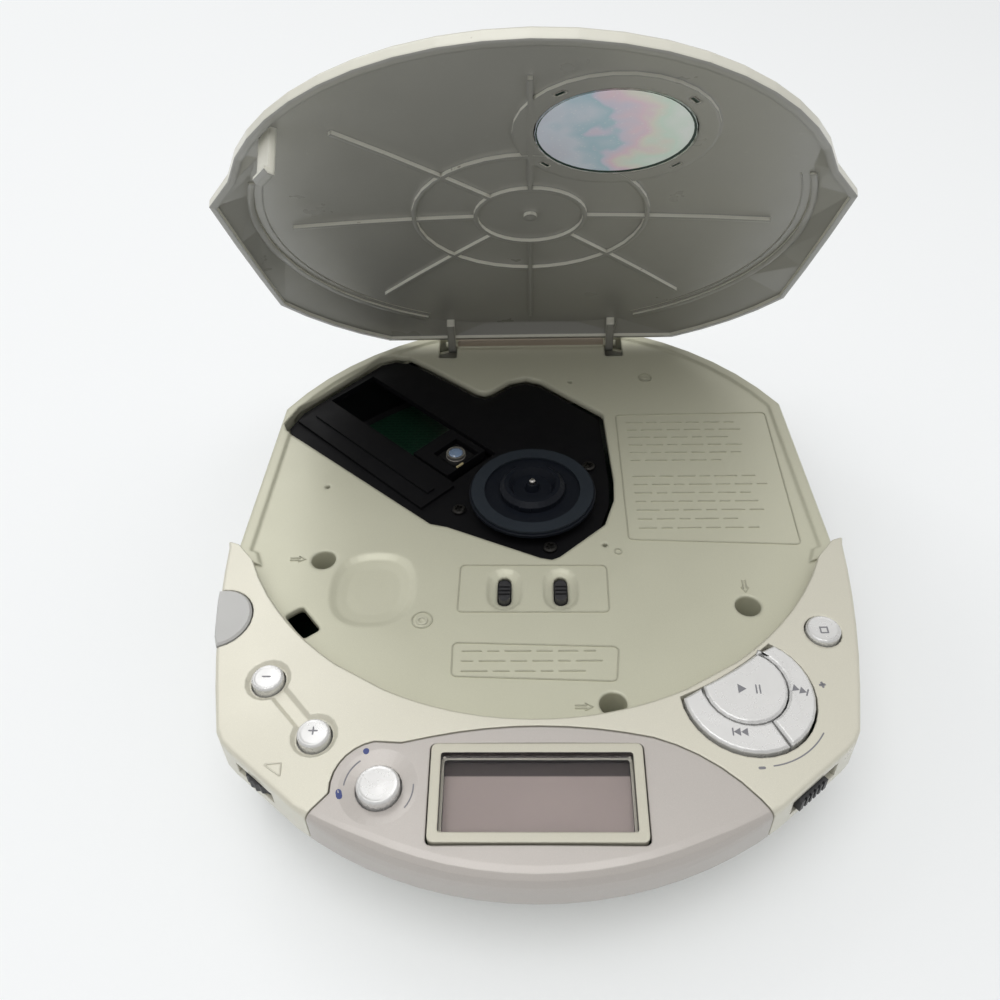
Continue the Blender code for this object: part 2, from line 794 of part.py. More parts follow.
def crowned(loop, low, proud, round_off=0.0):
    """An upright solid whose top follows the dome, with an optional rounded edge."""
    levels = [at_height(loop, low)]
    if round_off > 0.0:
        levels.append([(x, y, crown(x, y) + proud - round_off) for x, y in loop])
    levels.append([(x, y, crown(x, y) + proud) for x, y in inset(loop, round_off)])
    return loft(levels)


def side_x(y):
    """Half width of the body beside the wings, at a place along Y."""
    half = front_half()
    for (ax, ay), (bx, by) in zip(half, half[1:]):
        if by <= y <= ay:
            return ax + (bx - ax) * (y - ay) / (by - ay)
    return WIDEST_X


def clipped_circle(centre, radius, inner_radius, steps):
    """The part of a disc that lies outside a circle about the spindle, as an outline."""
    reach = hypot(*centre)
    along_line = (reach * reach + inner_radius**2 - radius**2) / (2 * reach)
    half_angle = atan2(sqrt(inner_radius**2 - along_line**2), along_line)
    middle = atan2(centre[1], centre[0])
    inner = arc((0.0, 0.0), inner_radius, middle + half_angle, middle - half_angle, 6)
    start = atan2(inner[-1][1] - centre[1], inner[-1][0] - centre[0])
    end = atan2(inner[0][1] - centre[1], inner[0][0] - centre[0])
    while end <= start:
        end += 2 * pi
    outer = arc(centre, radius, start, end, steps)
    return inner + outer[1:-1]


def bevel_frame(side):
    """Middle, direction and outward normal of a bevelled front corner; side is 1 or -1."""
    end_y = FRONT_CENTRE_Y - sqrt(FRONT_RADIUS**2 - BEVEL_END_X**2)
    start = Vector((side * BEVEL_START_X, BEVEL_START_Y))
    end = Vector((side * BEVEL_END_X, end_y))
    direction = (start - end).normalized()
    normal = Vector((direction.y, -direction.x)) if side > 0 else Vector((-direction.y, direction.x))
    return (start + end) / 2, direction, normal


def bevel_box(side, shift, length, depth_in, depth_out, low, high):
    """A box square to a bevelled corner, from depth_in inside to depth_out outside its face."""
    middle, direction, normal = bevel_frame(side)
    corners = []
    for a, n in ((-1, -depth_in), (1, -depth_in), (1, depth_out), (-1, depth_out)):
        point = middle + direction * (shift + a * length / 2) + normal * n
        corners.append((point.x, point.y))
    return prism(corners, low, high)


def round_post(centre, radius, low, high, steps=16):
    return prism(circle(centre, radius, steps), low, high)


def damper_seats():
    """Underside of the chassis and the top of the posts under its dampers."""
    under = CHASSIS_Z - CHASSIS_THICKNESS
    return under, under - GAP - DAMPER_HEIGHT - GAP


def battery_door_axis():
    """The door turns about the middle of its thickness at the rear end of the opening."""
    return BATTERY_Y + BATTERY_HALF_LENGTH - DOOR_MARGIN - DOOR_THICKNESS / 2, DOOR_LIFT + DOOR_THICKNESS / 2


def make_bottom_case(skin):
    top = PARTING_Z - GAP
    outer = [
        (tucked_outline(CASE_FOOT_INSET, 1.0), 0.0),
        (tucked_outline(CASE_HEEL_INSET, CASE_HEEL_TUCK_SHARE), CASE_HEEL_Z),
        (tucked_outline(CASE_HIP_INSET, CASE_HIP_TUCK_SHARE), CASE_HIP_Z),
        (body_outline(CASE_TOP_INSET), top),
    ]
    inner = [
        (body_outline(CASE_TOP_INSET + CASE_WALL), top),
        (tucked_outline(CASE_HIP_INSET + CASE_WALL, CASE_HIP_TUCK_SHARE), CASE_HIP_Z + CASE_FLOOR / 2),
        (tucked_outline(CASE_HEEL_INSET + CASE_WALL, CASE_HEEL_TUCK_SHARE), CASE_HEEL_Z + CASE_FLOOR),
        (tucked_outline(CASE_FOOT_INSET + CASE_WALL, 1.0), CASE_FLOOR),
    ]
    case = mesh_object("bottom_case", stacked(outer + inner), skin)
    floor = CASE_FLOOR - SINK
    centre = (BATTERY_X, BATTERY_Y)
    width, length = 2 * BATTERY_HALF_WIDTH, 2 * BATTERY_HALF_LENGTH
    outer_box = rounded_box(centre, width + 2 * BATTERY_WALL, length + 2 * BATTERY_WALL, BATTERY_WALL)
    added = [cutter("battery_well", prism(outer_box, floor, BATTERY_ROOF_Z + BATTERY_WALL))]
    post_top = TUBE_FLOOR_Z - GAP
    added += [
        cutter(f"screw_post_{name}", round_post((x, y), POST_RADIUS, floor, post_top))
        for name, x, y in SCREW_PLACES
    ]
    damper_top = damper_seats()[1]
    added += [
        cutter(f"damper_post_{name}", round_post((x, y), DAMPER_POST_RADIUS, floor, damper_top, 12))
        for name, x, y in CHASSIS_SCREWS
    ]
    added += [
        cutter(f"key_post_{i}", round_post(place, SHORT_POST_RADIUS, floor, BOARD_Z - GAP, 10))
        for i, place in enumerate(KEY_BOARD_POSTS)
    ]
    added += [
        cutter(f"board_post_{i}", round_post(place, SHORT_POST_RADIUS, floor, MAIN_BOARD_Z - GAP, 10))
        for i, place in enumerate(MAIN_BOARD_POSTS)
    ]
    combine(case, added, "UNION")
    inner_box = rounded_box(centre, width, length, BATTERY_WALL / 2)
    cuts = [cutter("battery_space", prism(inner_box, -CUT_OVER, BATTERY_ROOF_Z))]
    pilot = SCREW_SHANK_RADIUS + ROD_CLEARANCE
    depth = TUBE_FLOOR_Z + TUBE_FLOOR + GAP - SCREW_LENGTH - GAP
    cuts += [
        cutter(f"pilot_{name}", round_post((x, y), pilot, depth, post_top + CUT_OVER, 12))
        for name, x, y in SCREW_PLACES
    ]
    pilot = CHASSIS_SCREW_SHANK + ROD_CLEARANCE
    depth = CHASSIS_Z + GAP - CHASSIS_SCREW_LENGTH - GAP
    cuts += [
        cutter(f"chassis_pilot_{name}", round_post((x, y), pilot, depth, damper_top + CUT_OVER, 10))
        for name, x, y in CHASSIS_SCREWS
    ]
    hole = JACK_NOSE_RADIUS + GAP
    for name, y in (("phones", PHONES_Y), ("dc", DC_Y)):
        bar = tube_between((-WIDEST_X - CUT_OVER, y, JACK_Z), (JACK_NOSE_X + CUT_OVER, y, JACK_Z), hole, 20)
        cuts.append(cutter(f"{name}_hole", bar))
    axis_y, axis_z = battery_door_axis()
    reach = BATTERY_HALF_WIDTH + DOOR_PIN_LENGTH + GAP
    ends = ((BATTERY_X - reach, axis_y, axis_z), (BATTERY_X + reach, axis_y, axis_z))
    cuts.append(cutter("door_pin_holes", tube_between(*ends, DOOR_PIN_RADIUS + ROD_CLEARANCE, 10)))
    return combine(case, cuts)


def make_battery_door(skin):
    axis_y, axis_z = battery_door_axis()
    half = BATTERY_HALF_WIDTH - DOOR_MARGIN
    front = BATTERY_Y - BATTERY_HALF_LENGTH + DOOR_MARGIN
    low, high = DOOR_LIFT, DOOR_LIFT + DOOR_THICKNESS
    section = [(front, high), (front, low)]
    section += arc((axis_y, axis_z), DOOR_THICKNESS / 2, -pi / 2, pi / 2, 6)
    left = [(BATTERY_X - half, y, z) for y, z in section]
    right = [(BATTERY_X + half, y, z) for y, z in section]
    origin = (BATTERY_X, axis_y, axis_z)
    door = mesh_object("battery_door", loft([left, right]), skin, origin)
    pins = []
    for side in (-1, 1):
        inner = BATTERY_X + side * (half - DOOR_PIN_LENGTH)
        outer = BATTERY_X + side * (half + DOOR_MARGIN + DOOR_PIN_LENGTH)
        bar = tube_between((inner, axis_y, axis_z), (outer, axis_y, axis_z), DOOR_PIN_RADIUS, 10)
        pins.append(cutter(f"door_pin_{side}", bar))
    combine(door, pins, "UNION")
    grips = []
    for i in range(DOOR_RIBS):
        y = front + DOOR_RIB_PITCH * (i + 2)
        groove = rounded_box((BATTERY_X, y), half, DOOR_RIB_WIDTH, DOOR_RIB_WIDTH / 3, 1)
        grips.append(cutter(f"door_grip_{i}", prism(groove, -CUT_OVER, low + DOOR_RIB_HEIGHT)))
    return combine(door, grips)


def make_cells_and_contacts(skins):
    """Two cells head to tail, each with a coil at its flat end and a plate at its nub."""
    end = BATTERY_HALF_LENGTH - GAP
    for number, side in ((1, -1), (2, 1)):
        x = BATTERY_X + side * BATTERY_HALF_WIDTH / 2
        nub_wall = BATTERY_Y + side * (end - PLATE_THICKNESS - GAP)
        nub_root = nub_wall - side * CELL_NUB_LENGTH
        flat = nub_root - side * CELL_LENGTH
        radii = [
            (0.0, flat),
            (CELL_RADIUS - CELL_ROUND, flat),
            (CELL_RADIUS, flat + side * CELL_ROUND),
            (CELL_RADIUS, nub_root - side * CELL_ROUND),
            (CELL_RADIUS - CELL_ROUND, nub_root),
            (CELL_NUB_RADIUS, nub_root),
            (CELL_NUB_RADIUS, nub_wall),
            (0.0, nub_wall),
        ]
        bm = turned([(r, side * (y - BATTERY_Y)) for r, y in radii], steps=14)
        turn = Matrix.Rotation(-side * pi / 2, 4, "X")
        placed = moved(bm, Matrix.Translation((x, BATTERY_Y, CELL_Z)) @ turn)
        mesh_object(f"cell_{number}", placed, skins["cell"])
        plate_y = BATTERY_Y + side * (end - PLATE_THICKNESS / 2)
        square = rounded_box((0.0, 0.0), PLATE_SIDE, PLATE_SIDE, GAP, 1)
        plate = prism(square, -PLATE_THICKNESS / 2, PLATE_THICKNESS / 2)
        upright = Matrix.Translation((x, plate_y, CELL_Z)) @ Matrix.Rotation(pi / 2, 4, "X")
        mesh_object(f"contact_plate_{number}", moved(plate, upright), skins["nickel"])
        coil_start = BATTERY_Y - side * (end - SPRING_WIRE)
        coil_end = flat - side * (SPRING_WIRE + GAP)
        count = SPRING_TURNS * SPRING_POINTS_PER_TURN
        points = []
        for i in range(count + 1):
            share = i / count
            radius = SPRING_RADIUS + (SPRING_TIP_RADIUS - SPRING_RADIUS) * share
            turn_angle = 2 * pi * SPRING_TURNS * share
            y = coil_start + (coil_end - coil_start) * share
            points.append((x + radius * cos(turn_angle), y, CELL_Z + radius * sin(turn_angle)))
        wire(f"contact_spring_{number}", points, SPRING_WIRE, skins["nickel"])


def wire(name, points, radius, skin):
    """A round wire along points, with filled ends."""
    curve = bpy.data.curves.new(name, "CURVE")
    curve.dimensions = "3D"
    curve.bevel_depth = radius
    curve.bevel_resolution = 0
    curve.use_fill_caps = True
    spline = curve.splines.new("POLY")
    spline.points.add(len(points) - 1)
    for point, place in zip(spline.points, points):
        point.co = (*place, 1.0)
    obj = bpy.data.objects.new(name, curve)
    bpy.context.scene.collection.objects.link(obj)
    curve.materials.append(skin)
    return obj


def make_deck(skin):
    under = DECK_Z - DECK_THICKNESS
    low = PARTING_Z + GAP
    levels = [
        (deck_outline(DECK_WALL), under),
        (deck_outline(DECK_WALL), low),
        (deck_outline(), low),
        (deck_outline(), RIM_Z - EDGE_ROUND),
        (deck_outline(EDGE_ROUND), RIM_Z),
        (deck_outline(RIM_WIDTH), RIM_Z),
        (deck_outline(RIM_WIDTH + RIM_SLOPE), DECK_Z),
    ]
    deck = mesh_object("deck", stacked(levels), skin)
    added = [
        cutter(f"screw_tube_{name}", round_post((x, y), TUBE_RADIUS, TUBE_FLOOR_Z, under + SINK, 20))
        for name, x, y in SCREW_PLACES
    ]
    for i, place in enumerate(MARK_RINGS):
        ring = round_post(place, MARK_RING_RADIUS, DECK_Z - SINK, DECK_Z + MARK_RING_HEIGHT, 12)
        added.append(cutter(f"mark_ring_{i}", ring))
    added.append(cutter("hinge_band", hinge_band()))
    combine(deck, added, "UNION")
    over = DECK_Z + CUT_OVER
    cuts = [cutter("pickup_window", prism(WINDOW_POINTS, low, over))]
    for name, x, y in SCREW_PLACES:
        well = round_post((x, y), TUBE_BORE, TUBE_FLOOR_Z + TUBE_FLOOR, over, 20)
        cuts.append(cutter(f"screw_well_{name}", well))
        hole = SCREW_SHANK_RADIUS + GAP
        cuts.append(cutter(f"screw_hole_{name}", round_post((x, y), hole, TUBE_FLOOR_Z - CUT_OVER, over, 12)))
    for i, place in enumerate(PIN_HOLES):
        cuts.append(cutter(f"pin_hole_{i}", round_post(place, PIN_HOLE_RADIUS, low, over, 8)))
    for i, place in enumerate(MARK_RINGS):
        ring = round_post(place, MARK_RING_BORE, DECK_Z, over, 8)
        cuts.append(cutter(f"mark_bore_{i}", ring))
    cuts.append(cutter("finger_dish", bowl(dish_scale(), DISH_DEPTH)))
    for name, x in SWITCHES:
        shape = capsule_scale(x, SWITCH_Y, SWITCH_BOWL_LENGTH, SWITCH_BOWL_WIDTH)
        cuts.append(cutter(f"{name}_bowl", bowl(shape, SWITCH_BOWL_DEPTH)))
        slot = capsule((x, SWITCH_Y), SWITCH_SLOT_LENGTH, SWITCH_SLOT_WIDTH, 5, pi / 2)
        cuts.append(cutter(f"{name}_slot", prism(slot, low, over)))
    tangent = atan2(CATCH_Y, CATCH_X) + pi / 2
    slot = rounded_box((CATCH_X, CATCH_Y), CATCH_SLOT_LENGTH, CATCH_SLOT_WIDTH, PANEL_CREASE, 2, tangent)
    cuts.append(cutter("latch_slot", prism(slot, low, over)))
    for side in (-1, 1):
        inner, outer = side * ARM_SLOT_INNER_X, side * ARM_SLOT_OUTER_X
        centre = ((inner + outer) / 2, (ARM_SLOT_FRONT_Y + ARM_SLOT_REAR_Y) / 2)
        size = (abs(outer - inner), ARM_SLOT_REAR_Y - ARM_SLOT_FRONT_Y)
        slot = rounded_box(centre, *size, EDGE_ROUND, 2)
        cuts.append(cutter(f"arm_slot_{side}", prism(slot, low, over)))
    low_end, high_end = LATCH_Y - LATCH_WIDTH, LATCH_Y + LATCH_WIDTH
    channel = square_box(LATCH_CHANNEL_LEFT, LATCH_CHANNEL_RIGHT, low_end, high_end, low - CUT_OVER, under)
    cuts.append(cutter("latch_channel", channel))
    cuts.append(cutter("front_ground", front_rim_cut()))
    combine(deck, cuts)
    pins = []
    for side in (-1, 1):
        start = (side * (BAND_HALF - SINK), HINGE_Y, HINGE_Z)
        end = (side * (BAND_HALF + BAND_PIN_REACH), HINGE_Y, HINGE_Z)
        pins.append(cutter(f"hinge_pin_{side}", tube_between(start, end, HINGE_PIN_RADIUS)))
    return combine(deck, pins, "UNION")


def hinge_band():
    """The raised band behind the lid, which carries the hinge pins at its ends."""

    def band(front_y, rear):
        xs = [BAND_HALF * (2 * i / 8 - 1) for i in range(9)]
        near = [(x, front_y) for x in xs]
        far = [(x, sqrt(rear**2 - x**2)) for x in reversed(xs)]
        return near + far

    low = DECK_Z - SINK
    return stacked(
        [
            (band(BAND_FRONT_Y, BAND_REAR_RADIUS), low),
            (band(BAND_FRONT_Y, BAND_REAR_RADIUS), RIM_Z),
            (band(BAND_FRONT_Y + EDGE_ROUND, BAND_TOP_RADIUS), BAND_TOP_Z),
        ]
    )


def dish_scale(steps=28):
    """Outlines of the finger dish, a circle drawn out towards a square."""

    def drawn_out(value):
        return copysign(abs(value) ** DISH_SQUARE_SHARE, value)

    def shape(share):
        across, along_y = DISH_WIDTH / 2 * share, DISH_LENGTH / 2 * share
        turns = [2 * pi * i / steps for i in range(steps)]
        return [(DISH_X + across * drawn_out(cos(a)), DISH_Y + along_y * drawn_out(sin(a))) for a in turns]

    return shape


def capsule_scale(x, y, length, width):
    return lambda share: capsule((x, y), length * share, width * share, 6, pi / 2)


def bowl(shape, depth):
    """A shallow bowl cut into the deck; shape gives its outline for a share of its size."""
    levels = zip(BOWL_SIZE_SHARES, BOWL_DEPTH_SHARES)
    loops = [(shape(size_share), DECK_Z - depth * depth_share) for size_share, depth_share in levels]
    return stacked(loops + [(shape(1.0), DECK_Z + CUT_OVER)])


def panel_sections():
    """Cross sections of the front panel, from its right wing round to its left wing."""
    outer = [(WING_TIP_X, WING_TIP_Y)] + front_half()
    first = atan2(outer[1][1], outer[1][0])
    inner = [(NOTCH_X, NOTCH_Y)]
    for x, y in outer[1:]:
        share = (atan2(y, x) - first) / (-pi / 2 - first)
        angle = PANEL_ARC_END + (-pi / 2 - PANEL_ARC_END) * share
        inner.append((WELL_RADIUS * cos(angle), WELL_RADIUS * sin(angle)))
    pairs = list(zip(inner, outer))
    pairs += [((-ix, iy), (-ox, oy)) for (ix, iy), (ox, oy) in reversed(pairs[:-1])]
    last = len(pairs) - 1
    return [panel_section(Vector(i), Vector(o), n in (0, last)) for n, (i, o) in enumerate(pairs)]


def panel_section(inner, outer, closed):
    """One cross section; a closed one has no hollow and ends a wing."""
    out = (outer - inner).normalized()
    length = (outer - inner).length

    def top(distance, drop=0.0):
        place = inner + out * distance
        return (place.x, place.y, crown(place.x, place.y) - drop)

    def at(distance, z):
        place = inner + out * distance
        return (place.x, place.y, z)

    def under(distance):
        return at(distance, PANEL_LIP_Z + SINK) if closed else top(distance, PANEL_THICKNESS)

    lower = PARTING_Z
    full_share = min(1.0, max(0.0, (BRIM_START_Y - outer.y) / (BRIM_START_Y - BRIM_END_Y)))
    brim = PANEL_CREASE + (PANEL_BRIM - PANEL_CREASE) * full_share
    turns = [pi / 2 * i / BRIM_STEPS for i in range(BRIM_STEPS + 1)]
    edge = [top(length - brim * (1.0 - sin(a)), brim * (1.0 - cos(a))) for a in turns]
    return [
        at(0.0, PANEL_LIP_Z),
        top(0.0, PANEL_INNER_ROUND),
        top(PANEL_INNER_ROUND),
        top(length / 3),
        top(length * 2 / 3),
        *edge,
        at(length, lower),
        at(length - PANEL_WALL, lower),
        under(length - PANEL_WALL),
        under(length / 2),
        under(PANEL_LIP),
        at(PANEL_LIP, PANEL_LIP_Z),
    ]


def seam(amount):
    """Outline round the fascia, run past the front wall."""
    knob = (BAND_X, BAND_Y)
    front = BEVEL_START_Y - FRONT_RADIUS / 2
    points = [(FASCIA_SIDE, front), (FASCIA_SIDE, FASCIA_SIDE_Y)]
    points += arc_through(*FASCIA_RIGHT, 6)
    points += arc_through(*FASCIA_MIDDLE, 8)[1:]
    points.append(FASCIA_DIP)
    points += arc(knob, FASCIA_BOWL_RADIUS, FASCIA_BOWL_START, FASCIA_BOWL_END, 7)
    points += [FASCIA_LEFT, (-FASCIA_SIDE, FASCIA_SIDE_Y), (-FASCIA_SIDE, front)]
    return inset(points, amount)


def bowl_on_crown(x, y, radius, depth, steps=28):
    """A round bowl cut square to the dome."""
    profile = [
        (0.0, -depth),
        (radius * KEY_BOWL_HEEL_SHARE, -depth * KEY_BOWL_DEPTH_SHARE),
        (radius, 0.0),
        (radius + depth, depth),
        (0.0, depth),
    ]
    return moved(turned(profile[::-1], steps=steps), crown_frame(x, y))


def key_hole(x, y, radius, name, steps=20):
    surface = crown(x, y)
    return cutter(name, round_post((x, y), radius + KEY_GAP, surface - KEY_SKIRT, surface + CUT_OVER, steps))


def pair_bowl():
    """The dumbbell recess round the minus and plus keys."""
    minus, plus = Vector((MINUS_X, MINUS_Y)), Vector((PLUS_X, PLUS_Y))
    line = plus - minus
    turn = atan2(line.y, line.x)
    half = line.length / 2
    join = atan2(PAIR_NECK_WIDTH / 2, PAIR_BOWL_RADIUS)
    points = arc((half, 0.0), PAIR_BOWL_RADIUS, -pi + join, pi - join, 14)
    points += arc((-half, 0.0), PAIR_BOWL_RADIUS, join, 2 * pi - join, 14)
    middle = (minus + plus) / 2
    c, s = cos(turn), sin(turn)
    loop = [(middle.x + x * c - y * s, middle.y + x * s + y * c) for x, y in points]
    low = [(x, y, crown(x, y) - BOWL_DEPTH) for x, y in inset(loop, BOWL_DEPTH)]
    high = [(x, y, crown(x, y)) for x, y in loop]
    over = [(x, y, crown(x, y) + CUT_OVER) for x, y in loop]
    return loft([low, high, over])


def cluster_outline(amount):
    """The round field of the play, previous and next keys, grown or shrunk by an amount."""
    centre = (CLUSTER_X, CLUSTER_Y)
    return clipped_circle(centre, CLUSTER_RADIUS + amount, CLUSTER_INNER_RADIUS - amount, 22)


def make_front_panel(skin):
    panel = mesh_object("front_panel", loft(panel_sections()), skin)
    low, high = PARTING_Z - CUT_OVER, CROWN_Z
    cuts = [cutter("fascia_space", prism(seam(0.0), low, high))]
    cuts.append(cutter("pair_bowl", pair_bowl()))
    cuts.append(key_hole(MINUS_X, MINUS_Y, PAIR_RADIUS, "minus_hole"))
    cuts.append(key_hole(PLUS_X, PLUS_Y, PAIR_RADIUS, "plus_hole"))
    stop_bowl = bowl_on_crown(STOP_X, STOP_Y, STOP_BOWL_RADIUS + KEY_GAP, BOWL_DEPTH / 2)
    cuts.append(cutter("stop_bowl", stop_bowl))
    cuts.append(key_hole(STOP_X, STOP_Y, STOP_RADIUS, "stop_hole"))
    surface = crown(CLUSTER_X, CLUSTER_Y)
    cluster = prism(cluster_outline(KEY_GAP), surface - KEY_SKIRT, surface + CUT_OVER)
    cuts.append(cutter("cluster_hole", cluster))
    open_hole = round_post((OPEN_X, OPEN_Y), OPEN_RADIUS + GAP, OPEN_BASE_Z - OPEN_TRAVEL - GAP, high, 28)
    cuts.append(cutter("open_hole", open_hole))
    half = HOLD_SLOT_HEIGHT / 2
    slot = bevel_box(1, 0.0, HOLD_LENGTH, HOLD_DEPTH + CUT_OVER, CUT_OVER, HOLD_Z - half, HOLD_Z + half)
    cuts.append(cutter("hold_slot", slot))
    half = WHEEL_SLOT_HEIGHT / 2
    depth = PANEL_WALL + CUT_OVER
    slot = bevel_box(-1, WHEEL_SHIFT, WHEEL_SLOT_LENGTH, depth, CUT_OVER, WHEEL_Z - half, WHEEL_Z + half)
    cuts.append(cutter("wheel_slot", slot))
    return combine(panel, cuts)


def display_box(width, depth, corner, low, high):
    """A block on the dome at the display, heights measured from the dome."""
    block = prism(rounded_box((0.0, 0.0), width, depth, corner), low, high)
    return moved(block, crown_frame(LCD_X, LCD_Y))


def make_fascia(skins):
    fascia = mesh_object("fascia", loft(panel_sections()), skins["silver"])
    low, high = PARTING_Z - CUT_OVER, CROWN_Z
    combine(fascia, [cutter("fascia_shape", prism(seam(GAP), low, high))], "INTERSECT")
    opening = display_box(LCD_WIDTH, LCD_DEPTH, LCD_CORNER, -KEY_SKIRT, CUT_OVER)
    cuts = [cutter("display_opening", opening)]
    cuts.append(cutter("band_bowl", bowl_on_crown(BAND_X, BAND_Y, BAND_BOWL_RADIUS, BOWL_DEPTH)))
    cuts.append(key_hole(BAND_X, BAND_Y, BAND_RADIUS, "band_hole"))
    combine(fascia, cuts)

    width, depth = LCD_WIDTH - 2 * GAP, LCD_DEPTH - 2 * GAP
    low = -PANEL_THICKNESS - LCD_GLASS_THICKNESS
    rim = display_box(width, depth, LCD_CORNER, low, LCD_RIM_HEIGHT)
    frame = mesh_object("display_frame", rim, skins["beige"])
    inner = (LCD_WIDTH - 2 * LCD_RIM, LCD_DEPTH - 2 * LCD_RIM)
    ledge = LCD_RIM / 2
    corner = LCD_CORNER / 2
    glass_top = -LCD_GLASS_DROP
    glass_base = glass_top - LCD_GLASS_THICKNESS
    pane_space = display_box(*inner, corner, glass_base - GAP, CUT_OVER)
    view = display_box(inner[0] - ledge, inner[1] - ledge, corner, low - CUT_OVER, CUT_OVER)
    combine(frame, [cutter("display_pane_space", pane_space), cutter("display_view", view)])
    pane = display_box(inner[0] - 2 * GAP, inner[1] - 2 * GAP, corner - GAP, glass_base, glass_top)
    mesh_object("display_window", pane, skins["glass"])
    cell_top = low - GAP
    cell = display_box(width - LCD_RIM, depth - LCD_RIM, LCD_CORNER, cell_top - LCD_CELL_THICKNESS, cell_top)
    mesh_object("display_module", cell, skins["lcd"])


def round_key(name, x, y, radius, skin, hollow=True):
    """A turned key: rounded rim, dished top, a flange under the panel and a stem to its switch."""
    surface = crown(x, y)
    top, skirt = surface + KEY_PROUD, surface - KEY_SKIRT
    stem_end = BOARD_Z + BOARD_THICKNESS + DOME_HEIGHT + KEY_TRAVEL + RUN_GAP
    dish = KEY_ROUND / 2 if hollow else 0.0
    profile = [
        (0.0, top - dish),
        (radius - 2 * KEY_ROUND, top - dish / 2),
        (radius - KEY_ROUND, top),
        (radius, top - KEY_ROUND),
        (radius, skirt + KEY_HOLLOW),
        (radius + KEY_HOLLOW, skirt + KEY_HOLLOW),
        (radius + KEY_HOLLOW, skirt),
        (STEM_RADIUS, skirt),
        (STEM_RADIUS, stem_end),
        (0.0, stem_end),
    ]
    return mesh_object(name, turned(profile, (x, y), 20), skin, (x, y, surface))


def shaped_key(name, loop, stem, skin):
    """A key with a free outline, whose top follows the dome, and a stem to its switch."""
    x, y = stem
    surface = crown(x, y)
    skirt = surface - KEY_SKIRT
    key = mesh_object(name, crowned(loop, skirt, KEY_PROUD, KEY_ROUND), skin, (x, y, surface))
    stem_end = BOARD_Z + BOARD_THICKNESS + DOME_HEIGHT + KEY_TRAVEL + RUN_GAP
    post = round_post(stem, STEM_RADIUS, stem_end, skirt + SINK, 12)
    return combine(key, [cutter(f"{name}_stem", post)], "UNION")


def cluster_key_outline(start, end, inner_gap):
    """Ring piece round the play key between two angles about the play key's centre, kept
    inside the cluster's field."""
    field = cluster_outline(-KEY_GAP / 2)
    inner = arc((PLAY_X, PLAY_Y), PLAY_RADIUS + inner_gap, start, end, 9)
    outer = []
    for i in range(13):
        angle = end + (start - end) * i / 12
        outer.append(ray_to_edge(field, (PLAY_X, PLAY_Y), angle))
    return inner + outer


def ray_to_edge(loop, start, angle):
    """Where a ray from inside an outline meets it."""
    dx, dy = cos(angle), sin(angle)
    best = None
    for (ax, ay), (bx, by) in zip(loop, loop[1:] + loop[:1]):
        ex, ey = bx - ax, by - ay
        cross = dx * ey - dy * ex
        if cross == 0.0:
            continue
        t = ((ax - start[0]) * ey - (ay - start[1]) * ex) / cross
        u = ((ax - start[0]) * dy - (ay - start[1]) * dx) / cross
        if t > 0.0 and 0.0 <= u <= 1.0 and (best is None or t < best):
            best = t
    return (start[0] + dx * best, start[1] + dy * best)


def cluster_angles():
    """Where the ring keys end at the inner edge, seen from the play key's centre."""
    play = clipped_circle((PLAY_X, PLAY_Y), PLAY_RADIUS + KEY_GAP, CLUSTER_INNER_RADIUS, 12)
    right, left = play[0], play[6]
    right_angle = atan2(right[1] - PLAY_Y, right[0] - PLAY_X)
    left_angle = atan2(left[1] - PLAY_Y, left[0] - PLAY_X)
    return right_angle, left_angle - 2 * pi if left_angle > 0 else left_angle


def key_places():
    """Stem places of the keys: name, x, y."""
    ring = (PLAY_RADIUS + CLUSTER_RADIUS) / 2
    right_angle, left_angle = cluster_angles()
    next_angle = (CLUSTER_SPLIT_ANGLE + right_angle) / 2
    previous_angle = (CLUSTER_SPLIT_ANGLE + left_angle) / 2
    return {
        "minus": (MINUS_X, MINUS_Y),
        "plus": (PLUS_X, PLUS_Y),
        "band": (BAND_X, BAND_Y),
        "stop": (STOP_X, STOP_Y),
        "play": (PLAY_X, PLAY_Y),
        "next": (PLAY_X + ring * cos(next_angle), PLAY_Y + ring * sin(next_angle)),
        "previous": (PLAY_X + ring * cos(previous_angle), PLAY_Y + ring * sin(previous_angle)),
    }


def make_keys(skins):
    places = key_places()
    round_key("minus_button", MINUS_X, MINUS_Y, PAIR_RADIUS, skins["bright"])
    round_key("plus_button", PLUS_X, PLUS_Y, PAIR_RADIUS, skins["bright"])
    round_key("band_button", BAND_X, BAND_Y, BAND_RADIUS, skins["bright"])
    round_key("stop_button", STOP_X, STOP_Y, STOP_RADIUS, skins["bright"])
    play = clipped_circle((PLAY_X, PLAY_Y), PLAY_RADIUS, CLUSTER_INNER_RADIUS, 18)
    shaped_key("play_button", play, places["play"], skins["bright"])
    right_angle, left_angle = cluster_angles()
    half_gap = KEY_GAP / PLAY_RADIUS / 2
    following = cluster_key_outline(CLUSTER_SPLIT_ANGLE + half_gap, right_angle - half_gap, KEY_GAP)
    shaped_key("next_button", following[::-1], places["next"], skins["bright"])
    previous = cluster_key_outline(left_angle + half_gap, CLUSTER_SPLIT_ANGLE - half_gap, KEY_GAP)
    shaped_key("previous_button", previous[::-1], places["previous"], skins["bright"])


